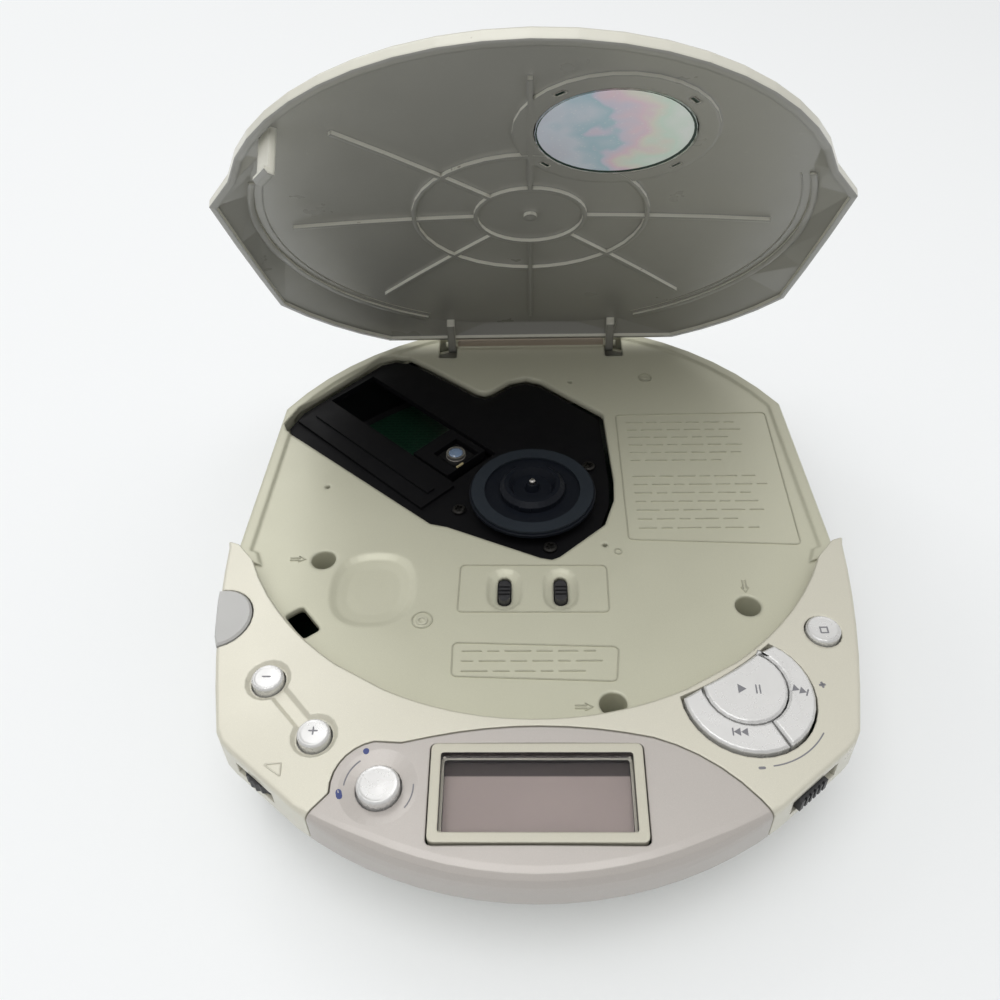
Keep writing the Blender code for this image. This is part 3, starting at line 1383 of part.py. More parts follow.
def make_boards(skins):
    """Key board under the panel, main board on the floor and the volume control."""
    high = BOARD_Z + BOARD_THICKNESS
    board = mesh_object("key_board", prism(body_outline(BOARD_INSET), BOARD_Z, high), skins["board"])
    low, over = BOARD_Z - CUT_OVER, high + CUT_OVER
    cuts = [cutter("key_board_rear", round_post((0.0, 0.0), BOARD_REAR_RADIUS, low, over, 64))]
    back = square_box(-REAR_RADIUS, REAR_RADIUS, BOARD_REAR_Y, REAR_RADIUS, low, over)
    cuts.append(cutter("key_board_back", back))
    cuts.append(cutter("key_board_left", square_box(-REAR_RADIUS, 0.0, BOARD_LEFT_Y, 0.0, low, over)))
    wheel = wheel_centre()
    cuts.append(cutter("volume_hole", round_post(wheel, POT_SHAFT_RADIUS + GAP, low, over, 16)))
    combine(board, cuts)
    domes = []
    for name, place in key_places().items():
        dome = round_post(place, DOME_RADIUS, high - SINK, high + DOME_HEIGHT, 12)
        domes.append(cutter(f"{name}_dome", dome))
    combine(board, domes, "UNION")

    pot_top = BOARD_Z - GAP
    profile = [
        (0.0, pot_top - POT_HEIGHT),
        (POT_RADIUS, pot_top - POT_HEIGHT),
        (POT_RADIUS, pot_top),
        (POT_SHAFT_RADIUS, pot_top),
        (POT_SHAFT_RADIUS, WHEEL_Z + WHEEL_THICKNESS / 2),
        (0.0, WHEEL_Z + WHEEL_THICKNESS / 2),
    ]
    mesh_object("volume_control", turned(profile, wheel, 16), skins["black"])

    high = MAIN_BOARD_Z + MAIN_BOARD_THICKNESS
    sheet = prism(body_outline(MAIN_BOARD_INSET), MAIN_BOARD_Z, high)
    board = mesh_object("main_board", sheet, skins["board"])
    low, over = MAIN_BOARD_Z - CUT_OVER, high + CUT_OVER
    keep = square_box(-REAR_RADIUS, MAIN_BOARD_RIGHT_X, MAIN_BOARD_FRONT_Y, MAIN_BOARD_REAR_Y, low, over)
    combine(board, [cutter("main_board_area", keep)], "INTERSECT")
    cuts = [
        cutter(f"board_post_hole_{name}", round_post((x, y), POST_RADIUS + GAP, low, over))
        for name, x, y in SCREW_PLACES
        if x < MAIN_BOARD_RIGHT_X and y > MAIN_BOARD_FRONT_Y
    ]
    cuts += [
        cutter(f"board_damper_hole_{name}", round_post((x, y), DAMPER_POST_RADIUS + GAP, low, over, 12))
        for name, x, y in CHASSIS_SCREWS
    ]
    combine(board, cuts)
    chips = []
    for i, (x, y, width, depth) in enumerate(CHIPS):
        block = prism(rounded_box((x, y), width, depth, GAP, 1), high - SINK, high + CHIP_HEIGHT)
        chips.append(cutter(f"chip_{i}", block))
    combine(board, chips, "UNION")


def square_box(left, right, front, rear, low, high):
    """A box square to the body."""
    return prism([(left, front), (right, front), (right, rear), (left, rear)], low, high)


def wheel_centre():
    middle, direction, normal = bevel_frame(-1)
    place = middle + direction * WHEEL_SHIFT - normal * (WHEEL_RADIUS - WHEEL_PROUD)
    return (place.x, place.y)


def make_volume_wheel(skin):
    centre = wheel_centre()
    loop = []
    for i in range(WHEEL_TEETH):
        for share, radius in ((0.0, WHEEL_RADIUS), (1 / 2, WHEEL_RADIUS - WHEEL_TOOTH)):
            a = 2 * pi * (i + share) / WHEEL_TEETH
            loop.append((centre[0] + radius * cos(a), centre[1] + radius * sin(a)))
    low, high = WHEEL_Z - WHEEL_THICKNESS / 2, WHEEL_Z + WHEEL_THICKNESS / 2
    wheel = mesh_object("volume_wheel", prism(loop, low, high), skin, (*centre, WHEEL_Z))
    bore = round_post(centre, WHEEL_BORE, low - CUT_OVER, high + CUT_OVER, 16)
    combine(wheel, [cutter("volume_bore", bore)])


def make_hold_slider(skin):
    half = HOLD_SLIDER_HEIGHT / 2
    shift = -HOLD_TRAVEL / 2
    middle, direction, normal = bevel_frame(1)
    place = middle + direction * shift
    knob = bevel_box(1, shift, HOLD_SLIDER_LENGTH, HOLD_DEPTH, HOLD_PROUD, HOLD_Z - half, HOLD_Z + half)
    slider = mesh_object("hold_slider", knob, skin, (place.x, place.y, HOLD_Z))
    low, high = BOARD_Z + BOARD_THICKNESS + GAP, HOLD_Z + HOLD_SLOT_HEIGHT / 2
    length = HOLD_LENGTH + HOLD_TRAVEL / 2
    plate = bevel_box(1, shift, length, HOLD_DEPTH + GAP, -PANEL_WALL - HOLD_BACK_GAP, low, high)
    combine(slider, [cutter("hold_plate", plate)], "UNION")
    pitch = HOLD_SLIDER_LENGTH / (HOLD_RIBS + 1)
    grooves = []
    for i in range(HOLD_RIBS):
        step = shift + pitch * (i + 1) - HOLD_SLIDER_LENGTH / 2
        groove = bevel_box(
            1, step, pitch / 2, -HOLD_PROUD / 2, HOLD_PROUD + CUT_OVER, HOLD_Z - HOLD_DEPTH, HOLD_Z + HOLD_DEPTH
        )
        grooves.append(cutter(f"hold_groove_{i}", groove))
    combine(slider, grooves)


def open_button_outline(amount):
    """The round key, cut off a little outside the body's side."""

    def edge(y):
        return -side_x(y) - OPEN_WALL_PROUD - amount

    points = circle((OPEN_X, OPEN_Y), OPEN_RADIUS + amount, 40)
    inside = [x > edge(y) for x, y in points]
    first = next(i for i in range(len(points)) if inside[i] and not inside[i - 1])
    reordered = points[first:] + points[:first]
    kept = [(x, y) for x, y in reordered if x > edge(y)]
    top, bottom = kept[-1][1], kept[0][1]
    for i in range(1, 6):
        y = top + (bottom - top) * i / 6
        kept.append((edge(y), y))
    return kept


def make_open_button(skins):
    """The lid release key, hollow beneath, with the rib that pushes the latch's ramp."""
    origin = (OPEN_X, OPEN_Y, crown(OPEN_X, OPEN_Y))
    shape = crowned(open_button_outline(0.0), OPEN_BASE_Z, OPEN_PROUD, KEY_ROUND)
    button = mesh_object("open_button", shape, skins["lilac"], origin)
    hollow = prism(open_button_outline(-OPEN_WALL), OPEN_BASE_Z - CUT_OVER, OPEN_CEILING_Z)
    combine(button, [cutter("open_hollow", hollow)])
    rib = square_box(
        RAMP_FOOT_X - OPEN_RIB, RAMP_FOOT_X, LATCH_Y - OPEN_RIB, LATCH_Y + OPEN_RIB, RAMP_Z + GAP, OPEN_CEILING_Z + SINK
    )
    combine(button, [cutter("open_rib", rib)], "UNION")

    low, high = LATCH_BASE_Z, LATCH_BASE_Z + LATCH_THICKNESS
    reach = hypot(CATCH_X, CATCH_Y) + CATCH_THICKNESS / 2 + CATCH_TOOTH + GAP
    out = Vector((CATCH_X, CATCH_Y)).normalized()
    line = Vector((-out.y, out.x))
    middle = out * reach
    near, far = LATCH_Y - LATCH_WIDTH / 2, LATCH_Y + LATCH_WIDTH / 2
    ends = [middle.x + line.x * (y - middle.y) / line.y for y in (near, far)]
    slope = OPEN_TRAVEL / LATCH_TRAVEL
    tail = RAMP_FOOT_X - OPEN_RIB - RAMP_LEAD
    plate = [(tail, near), (ends[0], near), (ends[1], far), (tail, far)]
    latch = mesh_object("latch", prism(plate, low, high), skins["nickel"], (RAMP_FOOT_X, LATCH_Y, low))
    top = RAMP_Z + RAMP_LEAD * slope
    foot = RAMP_FOOT_X - OPEN_RIB + (RAMP_Z - high + SINK) / slope
    ramp = [
        [(tail, y, high - SINK), (foot, y, high - SINK), (tail, y, top)]
        for y in (LATCH_Y - OPEN_RIB, LATCH_Y + OPEN_RIB)
    ]
    combine(latch, [cutter("latch_ramp", loft(ramp))], "UNION")


def make_switches(skin):
    for name, x in SWITCHES:
        y = SWITCH_Y - SWITCH_TRAVEL / 2
        top = DECK_Z + SWITCH_KNOB_PROUD
        base = DECK_Z - DECK_THICKNESS - GAP
        knob = prism(capsule((x, y), SWITCH_KNOB_LENGTH, SWITCH_KNOB_WIDTH, 6, pi / 2), base - SINK, top)
        switch = mesh_object(name, knob, skin, (x, y, DECK_Z))
        width = SWITCH_SLOT_WIDTH + SWITCH_RIB_WIDTH * 2
        length = SWITCH_SLOT_LENGTH + SWITCH_TRAVEL / 2
        plate = prism(rounded_box((x, y), width, length, SWITCH_RIB_WIDTH, 2), base - SWITCH_PLATE, base)
        combine(switch, [cutter(f"{name}_plate", plate)], "UNION")
        grooves = []
        for i in (-1, 0, 1):
            middle = y + i * SWITCH_RIB_WIDTH * 2
            groove = square_box(
                x - SWITCH_KNOB_WIDTH,
                x + SWITCH_KNOB_WIDTH,
                middle - SWITCH_RIB_WIDTH / 2,
                middle + SWITCH_RIB_WIDTH / 2,
                top - SWITCH_RIB_WIDTH,
                top + CUT_OVER,
            )
            grooves.append(cutter(f"{name}_groove_{i}", groove))
        combine(switch, grooves)


def lid_half():
    """Right half of the lid's outline, rear middle first, with the front blend of each point."""
    rear_radius = hypot(LID_REAR_HALF, LID_REAR_Y)
    points = [(LID_REAR_HALF * i / 3, LID_REAR_Y) for i in range(3)]
    corner_angle = atan2(REAR_CORNER_Y, sqrt(rear_radius**2 - REAR_CORNER_Y**2))
    points += arc((0.0, 0.0), rear_radius, atan2(LID_REAR_Y, LID_REAR_HALF), corner_angle, 4)
    points += arc_through(points[-1], (LID_SIDE_X, LID_SIDE_Y), (LID_EAR_X, LID_EAR_Y), 3)[1:]
    front = arc((0.0, 0.0), LID_FRONT_RADIUS, PANEL_ARC_END, -pi / 2, 10)
    return [(p, 0.0) for p in points] + [(p, min(1.0, (i + 1) / 2)) for i, p in enumerate(front)]


def lid_shell():
    half = lid_half()
    stations = half + [((-x, y), blend) for (x, y), blend in reversed(half) if x > GAP]

    def ring(place):
        return [place(Vector(point), blend) for point, blend in stations]

    def at_radius(radius, drop):
        def place(point, blend):
            reach = min(radius, point.length - LID_BAND)
            spot = point.normalized() * reach
            return (spot.x, spot.y, crown(spot.x, spot.y) - drop)

        return ring(place)

    def edge(inward, drop, rim):
        def place(point, blend):
            spot = point.normalized() * (point.length - inward)
            side, front = (LID_RIM_Z, LID_FRONT_RIM_Z) if rim else (LID_EDGE_Z, crown(spot.x, spot.y))
            return (spot.x, spot.y, side + (front - side) * blend - drop)

        return ring(place)

    radii = (LID_HEART_RADIUS, RIB_RING_RADIUS, LID_FIELD_RADIUS, RIB_OUTER_RADIUS, LID_CREST_RADIUS)
    loops = [at_radius(radius, LID_WALL) for radius in radii]
    loops.append(edge(LID_WALL, LID_WALL, False))
    loops.append(edge(LID_WALL, 0.0, True))
    loops.append(edge(EDGE_ROUND / 2, 0.0, True))
    loops.append(edge(0.0, -EDGE_ROUND / 2, True))
    loops.append(edge(0.0, EDGE_ROUND, False))
    loops.append(edge(EDGE_ROUND, 0.0, False))
    loops += [at_radius(radius, 0.0) for radius in reversed(radii)]
    return loft(loops)


def lid_spoke(angle):
    """A rib under the lid, from the centre ring outwards."""
    side = Vector((-sin(angle), cos(angle))) * (RIB_WIDTH / 2)
    loops = []
    for radius in (BOSS_RING_RADIUS, RIB_RING_RADIUS, LID_FIELD_RADIUS, RIB_OUTER_RADIUS):
        x, y = radius * cos(angle), radius * sin(angle)
        high = crown(x, y) - LID_WALL + SINK
        low = high - SINK - RIB_HEIGHT
        loops.append(
            [
                (x - side.x, y - side.y, low),
                (x + side.x, y + side.y, low),
                (x + side.x, y + side.y, high),
                (x - side.x, y - side.y, high),
            ]
        )
    return loft(loops)


def lid_ring(radius):
    high = crown(radius, 0.0) - LID_WALL
    inner, outer = radius - RIB_WIDTH / 2, radius + RIB_WIDTH / 2
    low = high - RIB_HEIGHT
    return turned([(inner, high + SINK), (outer, high + SINK), (outer, low), (inner, low)], steps=36)


def lid_catch():
    """The blade that drops through the deck, with its tooth."""
    middle = Vector((CATCH_X, CATCH_Y))
    out = middle.normalized()
    line = Vector((-out.y, out.x))
    top = crown(CATCH_X, CATCH_Y) - LID_WALL + SINK
    half = CATCH_THICKNESS / 2
    section = [
        (-half, top),
        (-half, CATCH_TIP_Z),
        (half, CATCH_TIP_Z),
        (half + CATCH_TOOTH, CATCH_TIP_Z + CATCH_TOOTH),
        (half + CATCH_TOOTH, CATCH_TIP_Z + CATCH_TOOTH + CATCH_TOOTH_HEIGHT),
        (half, CATCH_TIP_Z + CATCH_TOOTH + CATCH_TOOTH_HEIGHT),
        (half, top),
    ]
    ends = (middle - line * (CATCH_WIDTH / 2), middle + line * (CATCH_WIDTH / 2))
    return loft([[((end + out * r).x, (end + out * r).y, z) for r, z in section] for end in ends])


def hinge_arm(side):
    axis = (HINGE_Y, HINGE_Z)
    section = [(ARM_ROOT_Y, ARM_ROOT_Z), (ARM_ROOT_Y, ARM_ROOT_BASE_Z)]
    section += arc(axis, ARM_RADIUS, ARM_ARC_START, ARM_ARC_END, 10)
    section.append((ARM_REAR_Y, ARM_REAR_Z))
    near, far = side * (ARM_X - ARM_WIDTH / 2), side * (ARM_X + ARM_WIDTH / 2)
    return loft([[(x, y, z) for y, z in section] for x in (near, far)])


def port_disc(profile, steps=30):
    """A turned shape square to the lid at the badge, heights measured from the lid's skin."""
    return moved(turned(profile, steps=steps), crown_frame(PORT_X, PORT_Y))


def port_block(angle, length, width, radius, low, high):
    """A block beside the badge, its length along the badge's edge."""
    place = (radius * cos(angle), radius * sin(angle))
    block = prism(rounded_box(place, length, width, width / 4, 1, angle + pi / 2), low, high)
    return moved(block, crown_frame(PORT_X, PORT_Y))


def make_lid(skins):
    hinge = bpy.data.objects.new("lid_hinge", None)
    hinge.location = (0.0, HINGE_Y, HINGE_Z)
    bpy.context.scene.collection.objects.link(hinge)
    origin = tuple(hinge.location)
    lid = mesh_object("lid", lid_shell(), skins["lid"], origin, hinge)
    added = [("boss_ring", lid_ring(BOSS_RING_RADIUS)), ("rib_ring", lid_ring(RIB_RING_RADIUS))]
    added += [(f"spoke_{i}", lid_spoke(angle)) for i, angle in enumerate(SPOKE_ANGLES)]
    gate = crown(0.0, 0.0) - LID_WALL
    added.append(("gate", round_post((0.0, 0.0), GATE_RADIUS, gate - RIB_HEIGHT, gate + SINK, 12)))
    pad = [
        (0.0, -LID_WALL + SINK),
        (PORT_RING_RADIUS, -LID_WALL + SINK),
        (PORT_RING_RADIUS, -LID_WALL - PORT_RING_DEPTH),
        (0.0, -LID_WALL - PORT_RING_DEPTH),
    ]
    added.append(("port_pad", port_disc(pad)))
    added.append(("catch", lid_catch()))
    added += [("arm_left", hinge_arm(-1)), ("arm_right", hinge_arm(1))]
    combine(lid, [cutter(name, bm, hinge) for name, bm in added], "UNION")

    through = -LID_WALL - PORT_RING_DEPTH - CUT_OVER
    seat = BADGE_THICKNESS / 2 + GAP
    flange = PORT_RING_RADIUS - GAP
    hole = [
        (0.0, through),
        (PORT_RADIUS, through),
        (PORT_RADIUS, -seat),
        (flange, -seat),
        (flange, CUT_OVER),
        (0.0, CUT_OVER),
    ]
    cuts = [("port_hole", port_disc(hole))]
    middle = (PORT_RADIUS + PORT_RING_RADIUS) / 2
    for i, angle in enumerate(CLIP_ANGLES):
        window = port_block(angle, CLIP_WIDTH, CLIP_DEPTH, middle, through, CUT_OVER)
        cuts.append((f"clip_window_{i}", window))
    reach = ARM_X + ARM_WIDTH
    pin_space = HINGE_PIN_RADIUS + HINGE_PIN_CLEARANCE
    bore = tube_between((-reach, HINGE_Y, HINGE_Z), (reach, HINGE_Y, HINGE_Z), pin_space)
    cuts.append(("arm_bore", bore))
    combine(lid, [cutter(name, bm, hinge) for name, bm in cuts])

    plug = PORT_RADIUS - GAP
    rim = flange - GAP
    profile = [
        (0.0, 0.0),
        (rim - BADGE_THICKNESS / 4, 0.0),
        (rim, -BADGE_THICKNESS / 4),
        (rim, -BADGE_THICKNESS / 2),
        (plug, -BADGE_THICKNESS / 2),
        (plug, -LID_WALL),
        (0.0, -LID_WALL),
    ]
    badge = mesh_object("lid_badge", port_disc(profile), skins["badge"], origin, hinge)
    tabs = []
    for i, angle in enumerate(CLIP_ANGLES):
        size = (CLIP_WIDTH - 2 * GAP, CLIP_DEPTH - 2 * GAP)
        tab = port_block(angle, *size, middle, -LID_WALL - PORT_RING_DEPTH, -BADGE_THICKNESS / 2 + GAP)
        tabs.append(cutter(f"badge_tab_{i}", tab, hinge))
    combine(badge, tabs, "UNION")
    top, bottom = -LID_WALL - GAP, -LID_WALL - PORT_RING_DEPTH
    foil = [(0.0, top), (plug, top), (plug, bottom), (0.0, bottom)]
    mesh_object("lid_foil_disc", port_disc(foil), skins["foil"], origin, hinge)
    hinge.rotation_euler = (-LID_OPEN_ANGLE, 0.0, 0.0)


def make_mechanism(skins):
    """Chassis plate with the pickup slot, the raised cover strip and the brackets beneath."""
    low, high = CHASSIS_Z - CHASSIS_THICKNESS, CHASSIS_Z
    outline = inset(list(WINDOW_POINTS), CHASSIS_INSET)
    chassis = mesh_object("mechanism_chassis", prism(outline, low, high), skins["black"])
    added = []
    strip = travel_box(COVER_START, COVER_END, COVER_NEAR, COVER_FAR, high - SINK, high + COVER_HEIGHT)
    added.append(cutter("cover_strip", strip))
    middle = (COVER_NEAR + COVER_FAR) / 2
    ends = (COVER_START + RAIL_WIDTH, COVER_END - RAIL_WIDTH)
    rail = travel_box(
        *ends, middle - RAIL_WIDTH / 2, middle + RAIL_WIDTH / 2, high, high + COVER_HEIGHT + RAIL_HEIGHT
    )
    added.append(cutter("cover_rail", rail))
    base = ROD_Z - ROD_BLOCK_HALF
    for i, t in enumerate((-ROD_OFFSET, ROD_OFFSET)):
        for j, s in enumerate((ROD_START, ROD_END - ROD_BLOCK)):
            block = travel_box(s, s + ROD_BLOCK, t - ROD_BLOCK_HALF, t + ROD_BLOCK_HALF, base, low + SINK)
            added.append(cutter(f"rod_block_{i}_{j}", block))
    near, far = FEED_OFFSET - ROD_BLOCK_HALF, FEED_OFFSET + ROD_BLOCK_HALF
    bracket = travel_box(FEED_END, FEED_END + ROD_BLOCK, near, far, base, low + SINK)
    added.append(cutter("feed_bracket", bracket))
    combine(chassis, added, "UNION")
    cuts = []
    start = PICKUP_RADIUS - SLED_LEAD - PICKUP_IN - SLOT_MARGIN
    end = PICKUP_RADIUS - SLED_LEAD + SLED_LENGTH + PICKUP_OUT + SLOT_MARGIN
    slot = travel_box(
        start, end, SLED_SIDE_NEAR - SLOT_MARGIN, SLED_SIDE_FAR + SLOT_MARGIN, low - CUT_OVER, high + CUT_OVER
    )
    cuts.append(cutter("sled_slot", slot))
    shaft_hole = round_post((0.0, 0.0), SHAFT_RADIUS + 2 * GAP, low - CUT_OVER, high + CUT_OVER)
    cuts.append(cutter("shaft_hole", shaft_hole))
    for name, x, y in CHASSIS_SCREWS:
        hole = round_post((x, y), CHASSIS_SCREW_SHANK + ROD_CLEARANCE, low - CUT_OVER, high + CUT_OVER, 12)
        cuts.append(cutter(f"chassis_hole_{name}", hole))
    for i, t in enumerate((-ROD_OFFSET, ROD_OFFSET)):
        ends = [(*along(s, t), ROD_Z) for s in (ROD_START - CUT_OVER, ROD_END + CUT_OVER)]
        cuts.append(cutter(f"rod_bore_{i}", tube_between(*ends, ROD_RADIUS + ROD_CLEARANCE, 16)))
    ends = [(*along(s, FEED_OFFSET), ROD_Z) for s in (FEED_END - CUT_OVER, FEED_END + ROD_BLOCK + CUT_OVER)]
    cuts.append(cutter("feed_bore", tube_between(*ends, FEED_CORE_RADIUS + ROD_CLEARANCE, 16)))
    combine(chassis, cuts)

    for name, t in (("guide_rod_right", -ROD_OFFSET), ("guide_rod_left", ROD_OFFSET)):
        ends = [(*along(s, t), ROD_Z) for s in (ROD_START, ROD_END)]
        mesh_object(name, tube_between(*ends, ROD_RADIUS, 10), skins["steel"])
    make_feed_drive(skins)
    make_sled(skins)


def make_feed_drive(skins):
    count = round((FEED_END - GAP - FEED_START) / FEED_PITCH * FEED_STEPS_PER_TURN)
    direction = Vector((*along(1.0, 0.0), 0.0))
    side = Vector((*along(0.0, 1.0), 0.0))
    up = Vector((0.0, 0.0, 1.0))

    def section(s, turn, radius, swing):
        centre = Vector((*along(s, FEED_OFFSET), ROD_Z))
        centre += side * (swing * cos(turn)) + up * (swing * sin(turn))
        points = []
        for i in range(FEED_SIDES):
            a = 2 * pi * i / FEED_SIDES
            points.append(centre + side * (radius * cos(a)) + up * (radius * sin(a)))
        return points

    loops = []
    for i in range(count + 1):
        s = FEED_START + (FEED_END - GAP - FEED_START) * i / count
        loops.append(section(s, 2 * pi * i / FEED_STEPS_PER_TURN, FEED_CORE_RADIUS, FEED_THREAD))
    journal = FEED_CORE_RADIUS - FEED_THREAD
    loops.append(section(FEED_END - GAP / 2, 0.0, journal, 0.0))
    loops.append(section(FEED_END + ROD_BLOCK, 0.0, journal, 0.0))
    origin = (*along(FEED_START, FEED_OFFSET), ROD_Z)
    mesh_object("feed_screw", loft(loops), skins["steel"], origin)

    start, end = FEED_MOTOR_START, FEED_START - GAP
    centre = [Vector((*along(s, FEED_OFFSET), ROD_Z)) for s in (start, start + RAIL_WIDTH / 2, end)]
    can = tube_between(centre[1], centre[2], FEED_MOTOR_RADIUS, 24)
    motor = mesh_object("feed_motor", can, skins["steel"])
    cap = tube_between(centre[0], centre[1] + direction * SINK, FEED_MOTOR_RADIUS - RAIL_WIDTH, 24)
    combine(motor, [cutter("feed_motor_cap", cap)], "UNION")


def make_sled(skins):
    """The pickup sled, its lens holder and its lens, at the radius seen in the rest pose."""
    start = PICKUP_RADIUS - SLED_LEAD
    end = start + SLED_LENGTH
    origin = (*along(PICKUP_RADIUS, 0.0), ROD_Z)
    top = travel_box(start, end, SLED_SIDE_NEAR, SLED_SIDE_FAR, SLED_SHOULDER_Z, SLED_TOP_Z)
    sled = mesh_object("pickup_sled", top, skins["black"], origin)
    near, far = SLED_SIDE_NEAR + SLOT_MARGIN, SLED_SIDE_FAR - SLOT_MARGIN
    block = travel_box(start + SLOT_MARGIN, end - SLOT_MARGIN, near, far, SLED_BASE_Z, SLED_SHOULDER_Z + SINK)
    first = start + SINK
    bar = travel_box(
        first,
        first + SLED_BEARING_LENGTH,
        -SLED_HALF_WIDTH,
        SLED_HALF_WIDTH,
        SLED_BEARING_BASE_Z,
        SLED_BEARING_TOP_Z,
    )
    added = [("optical_block", block), ("bearing_bar", bar)]
    finger = start + RAIL_WIDTH
    low = ROD_Z + FEED_CORE_RADIUS + FEED_THREAD + GAP
    far = FEED_OFFSET + FEED_CORE_RADIUS
    near, top = SLED_HALF_WIDTH - SINK, SLED_BEARING_TOP_Z - SINK
    arm = travel_box(finger, finger + FEED_FINGER_LENGTH, near, far, low, top)
    added.append(("feed_finger", arm))
    combine(sled, [cutter(name, bm) for name, bm in added], "UNION")
    cuts = []
    for i, t in enumerate((-ROD_OFFSET, ROD_OFFSET)):
        ends = [(*along(s, t), ROD_Z) for s in (start - CUT_OVER, end + CUT_OVER)]
        cuts.append(cutter(f"sled_bore_{i}", tube_between(*ends, ROD_RADIUS + ROD_CLEARANCE, 16)))
    half = LENS_POCKET_SIDE / 2
    inner, outer = PICKUP_RADIUS - half, PICKUP_RADIUS + half
    floor = SLED_TOP_Z - LENS_POCKET_DEPTH
    pocket = travel_box(inner, outer, -half, half, floor, SLED_TOP_Z + CUT_OVER)
    cuts.append(cutter("lens_pocket", pocket))
    combine(sled, cuts)

    half = LENS_HOLDER_SIDE / 2
    low = SLED_TOP_Z - LENS_POCKET_DEPTH + LENS_STROKE + GAP
    high = low + LENS_HOLDER_THICKNESS
    centre = along(PICKUP_RADIUS, 0.0)
    plate = travel_box(PICKUP_RADIUS - half, PICKUP_RADIUS + half, -half, half, low, high)
    holder = mesh_object("lens_holder", plate, skins["slate"], (*centre, low))
    ring = round_post(centre, LENS_RADIUS + LENS_COLLAR, high - SINK, high + LENS_HOLDER_LIFT, 20)
    combine(holder, [cutter("lens_collar", ring)], "UNION")
    seat = high + LENS_HOLDER_LIFT / 2
    bore = round_post(centre, LENS_RADIUS + ROD_CLEARANCE, seat, high + CUT_OVER, 20)
    combine(holder, [cutter("lens_seat", bore)])
    rise = LENS_PROUD / 2
    lens_base = seat + ROD_CLEARANCE
    brim = high + LENS_HOLDER_LIFT
    dome = [
        (0.0, lens_base),
        (LENS_RADIUS, lens_base),
        (LENS_RADIUS, brim),
        (LENS_RADIUS * LENS_SHOULDER_SHARE, brim + rise),
        (LENS_RADIUS * LENS_CREST_SHARE, brim + LENS_PROUD * LENS_CREST_RISE_SHARE),
        (0.0, brim + LENS_PROUD),
    ]
    mesh_object("objective_lens", turned(dome, centre, 20), skins["lens"], (*centre, low))


def make_turntable(skins):
    under = TABLE_TOP_Z - TABLE_THICKNESS
    boss_base = CHASSIS_Z + GAP
    profile = [
        (SHAFT_RADIUS + ROD_CLEARANCE, boss_base),
        (TABLE_BOSS_RADIUS, boss_base),
        (TABLE_BOSS_RADIUS, under),
        (TABLE_RADIUS - EDGE_ROUND, under),
        (TABLE_RADIUS, under + EDGE_ROUND),
        (TABLE_RADIUS, TABLE_TOP_Z - GAP / 2),
        (TABLE_RADIUS - GAP / 2, TABLE_TOP_Z),
        (HUB_RADIUS, TABLE_TOP_Z),
        (HUB_RADIUS, HUB_TOP_Z - HUB_CONE),
        (HUB_RADIUS - HUB_CONE, HUB_TOP_Z),
        (HUB_RADIUS - 2 * HUB_CONE, HUB_TOP_Z),
        (HUB_RADIUS - 3 * HUB_CONE, HUB_FLOOR_Z),
        (SHAFT_RADIUS + HUB_CONE, HUB_FLOOR_Z),
        (SHAFT_RADIUS + HUB_CONE / 2, HUB_TOP_Z),
        (SHAFT_RADIUS + ROD_CLEARANCE, HUB_TOP_Z),
    ]
    table = mesh_object("turntable", turned(profile, steps=32), skins["black"])
    claws = []
    for i in range(CLAW_COUNT):
        angle = 2 * pi * i / CLAW_COUNT + TRAVEL_ANGLE
        reach = HUB_RADIUS - HUB_CONE / 2 + CLAW_PROUD
        place = (reach * cos(angle), reach * sin(angle))
        low = HUB_TOP_Z - HUB_CONE - CLAW_HEIGHT
        outline = rounded_box(place, CLAW_WIDTH, HUB_CONE, CLAW_PROUD, 2, angle + pi / 2)
        block = prism(outline, low, low + CLAW_HEIGHT)
        claws.append(cutter(f"claw_{i}", block))
    combine(table, claws, "UNION")
    base = TABLE_TOP_Z + GAP / 3
    outer = TABLE_RADIUS - EDGE_ROUND
    crest = base + PAD_THICKNESS
    ring = [(PAD_INNER, base), (outer, base), (outer, crest), (PAD_INNER, crest)]
    mesh_object("turntable_pad", turned(ring, steps=32), skins["rubber"])
    bottom = MOTOR_BASE_Z + RAIL_WIDTH / 2
    tip = [
        (0.0, bottom),
        (SHAFT_RADIUS, bottom),
        (SHAFT_RADIUS, SPINDLE_TIP_Z - GAP),
        (SHAFT_RADIUS - GAP, SPINDLE_TIP_Z),
        (0.0, SPINDLE_TIP_Z),
    ]
    mesh_object("spindle_shaft", turned(tip, steps=10), skins["steel"])
    top = CHASSIS_Z - CHASSIS_THICKNESS - GAP
    bore = SHAFT_RADIUS + ROD_CLEARANCE
    floor = bottom - GAP
    body = [
        (0.0, MOTOR_BASE_Z),
        (MOTOR_RADIUS - EDGE_ROUND, MOTOR_BASE_Z),
        (MOTOR_RADIUS, MOTOR_BASE_Z + EDGE_ROUND),
        (MOTOR_RADIUS, top - EDGE_ROUND),
        (MOTOR_RADIUS - EDGE_ROUND, top),
        (bore, top),
        (bore, floor),
        (0.0, floor),
    ]
    mesh_object("spindle_motor", turned(body, steps=24), skins["steel"])


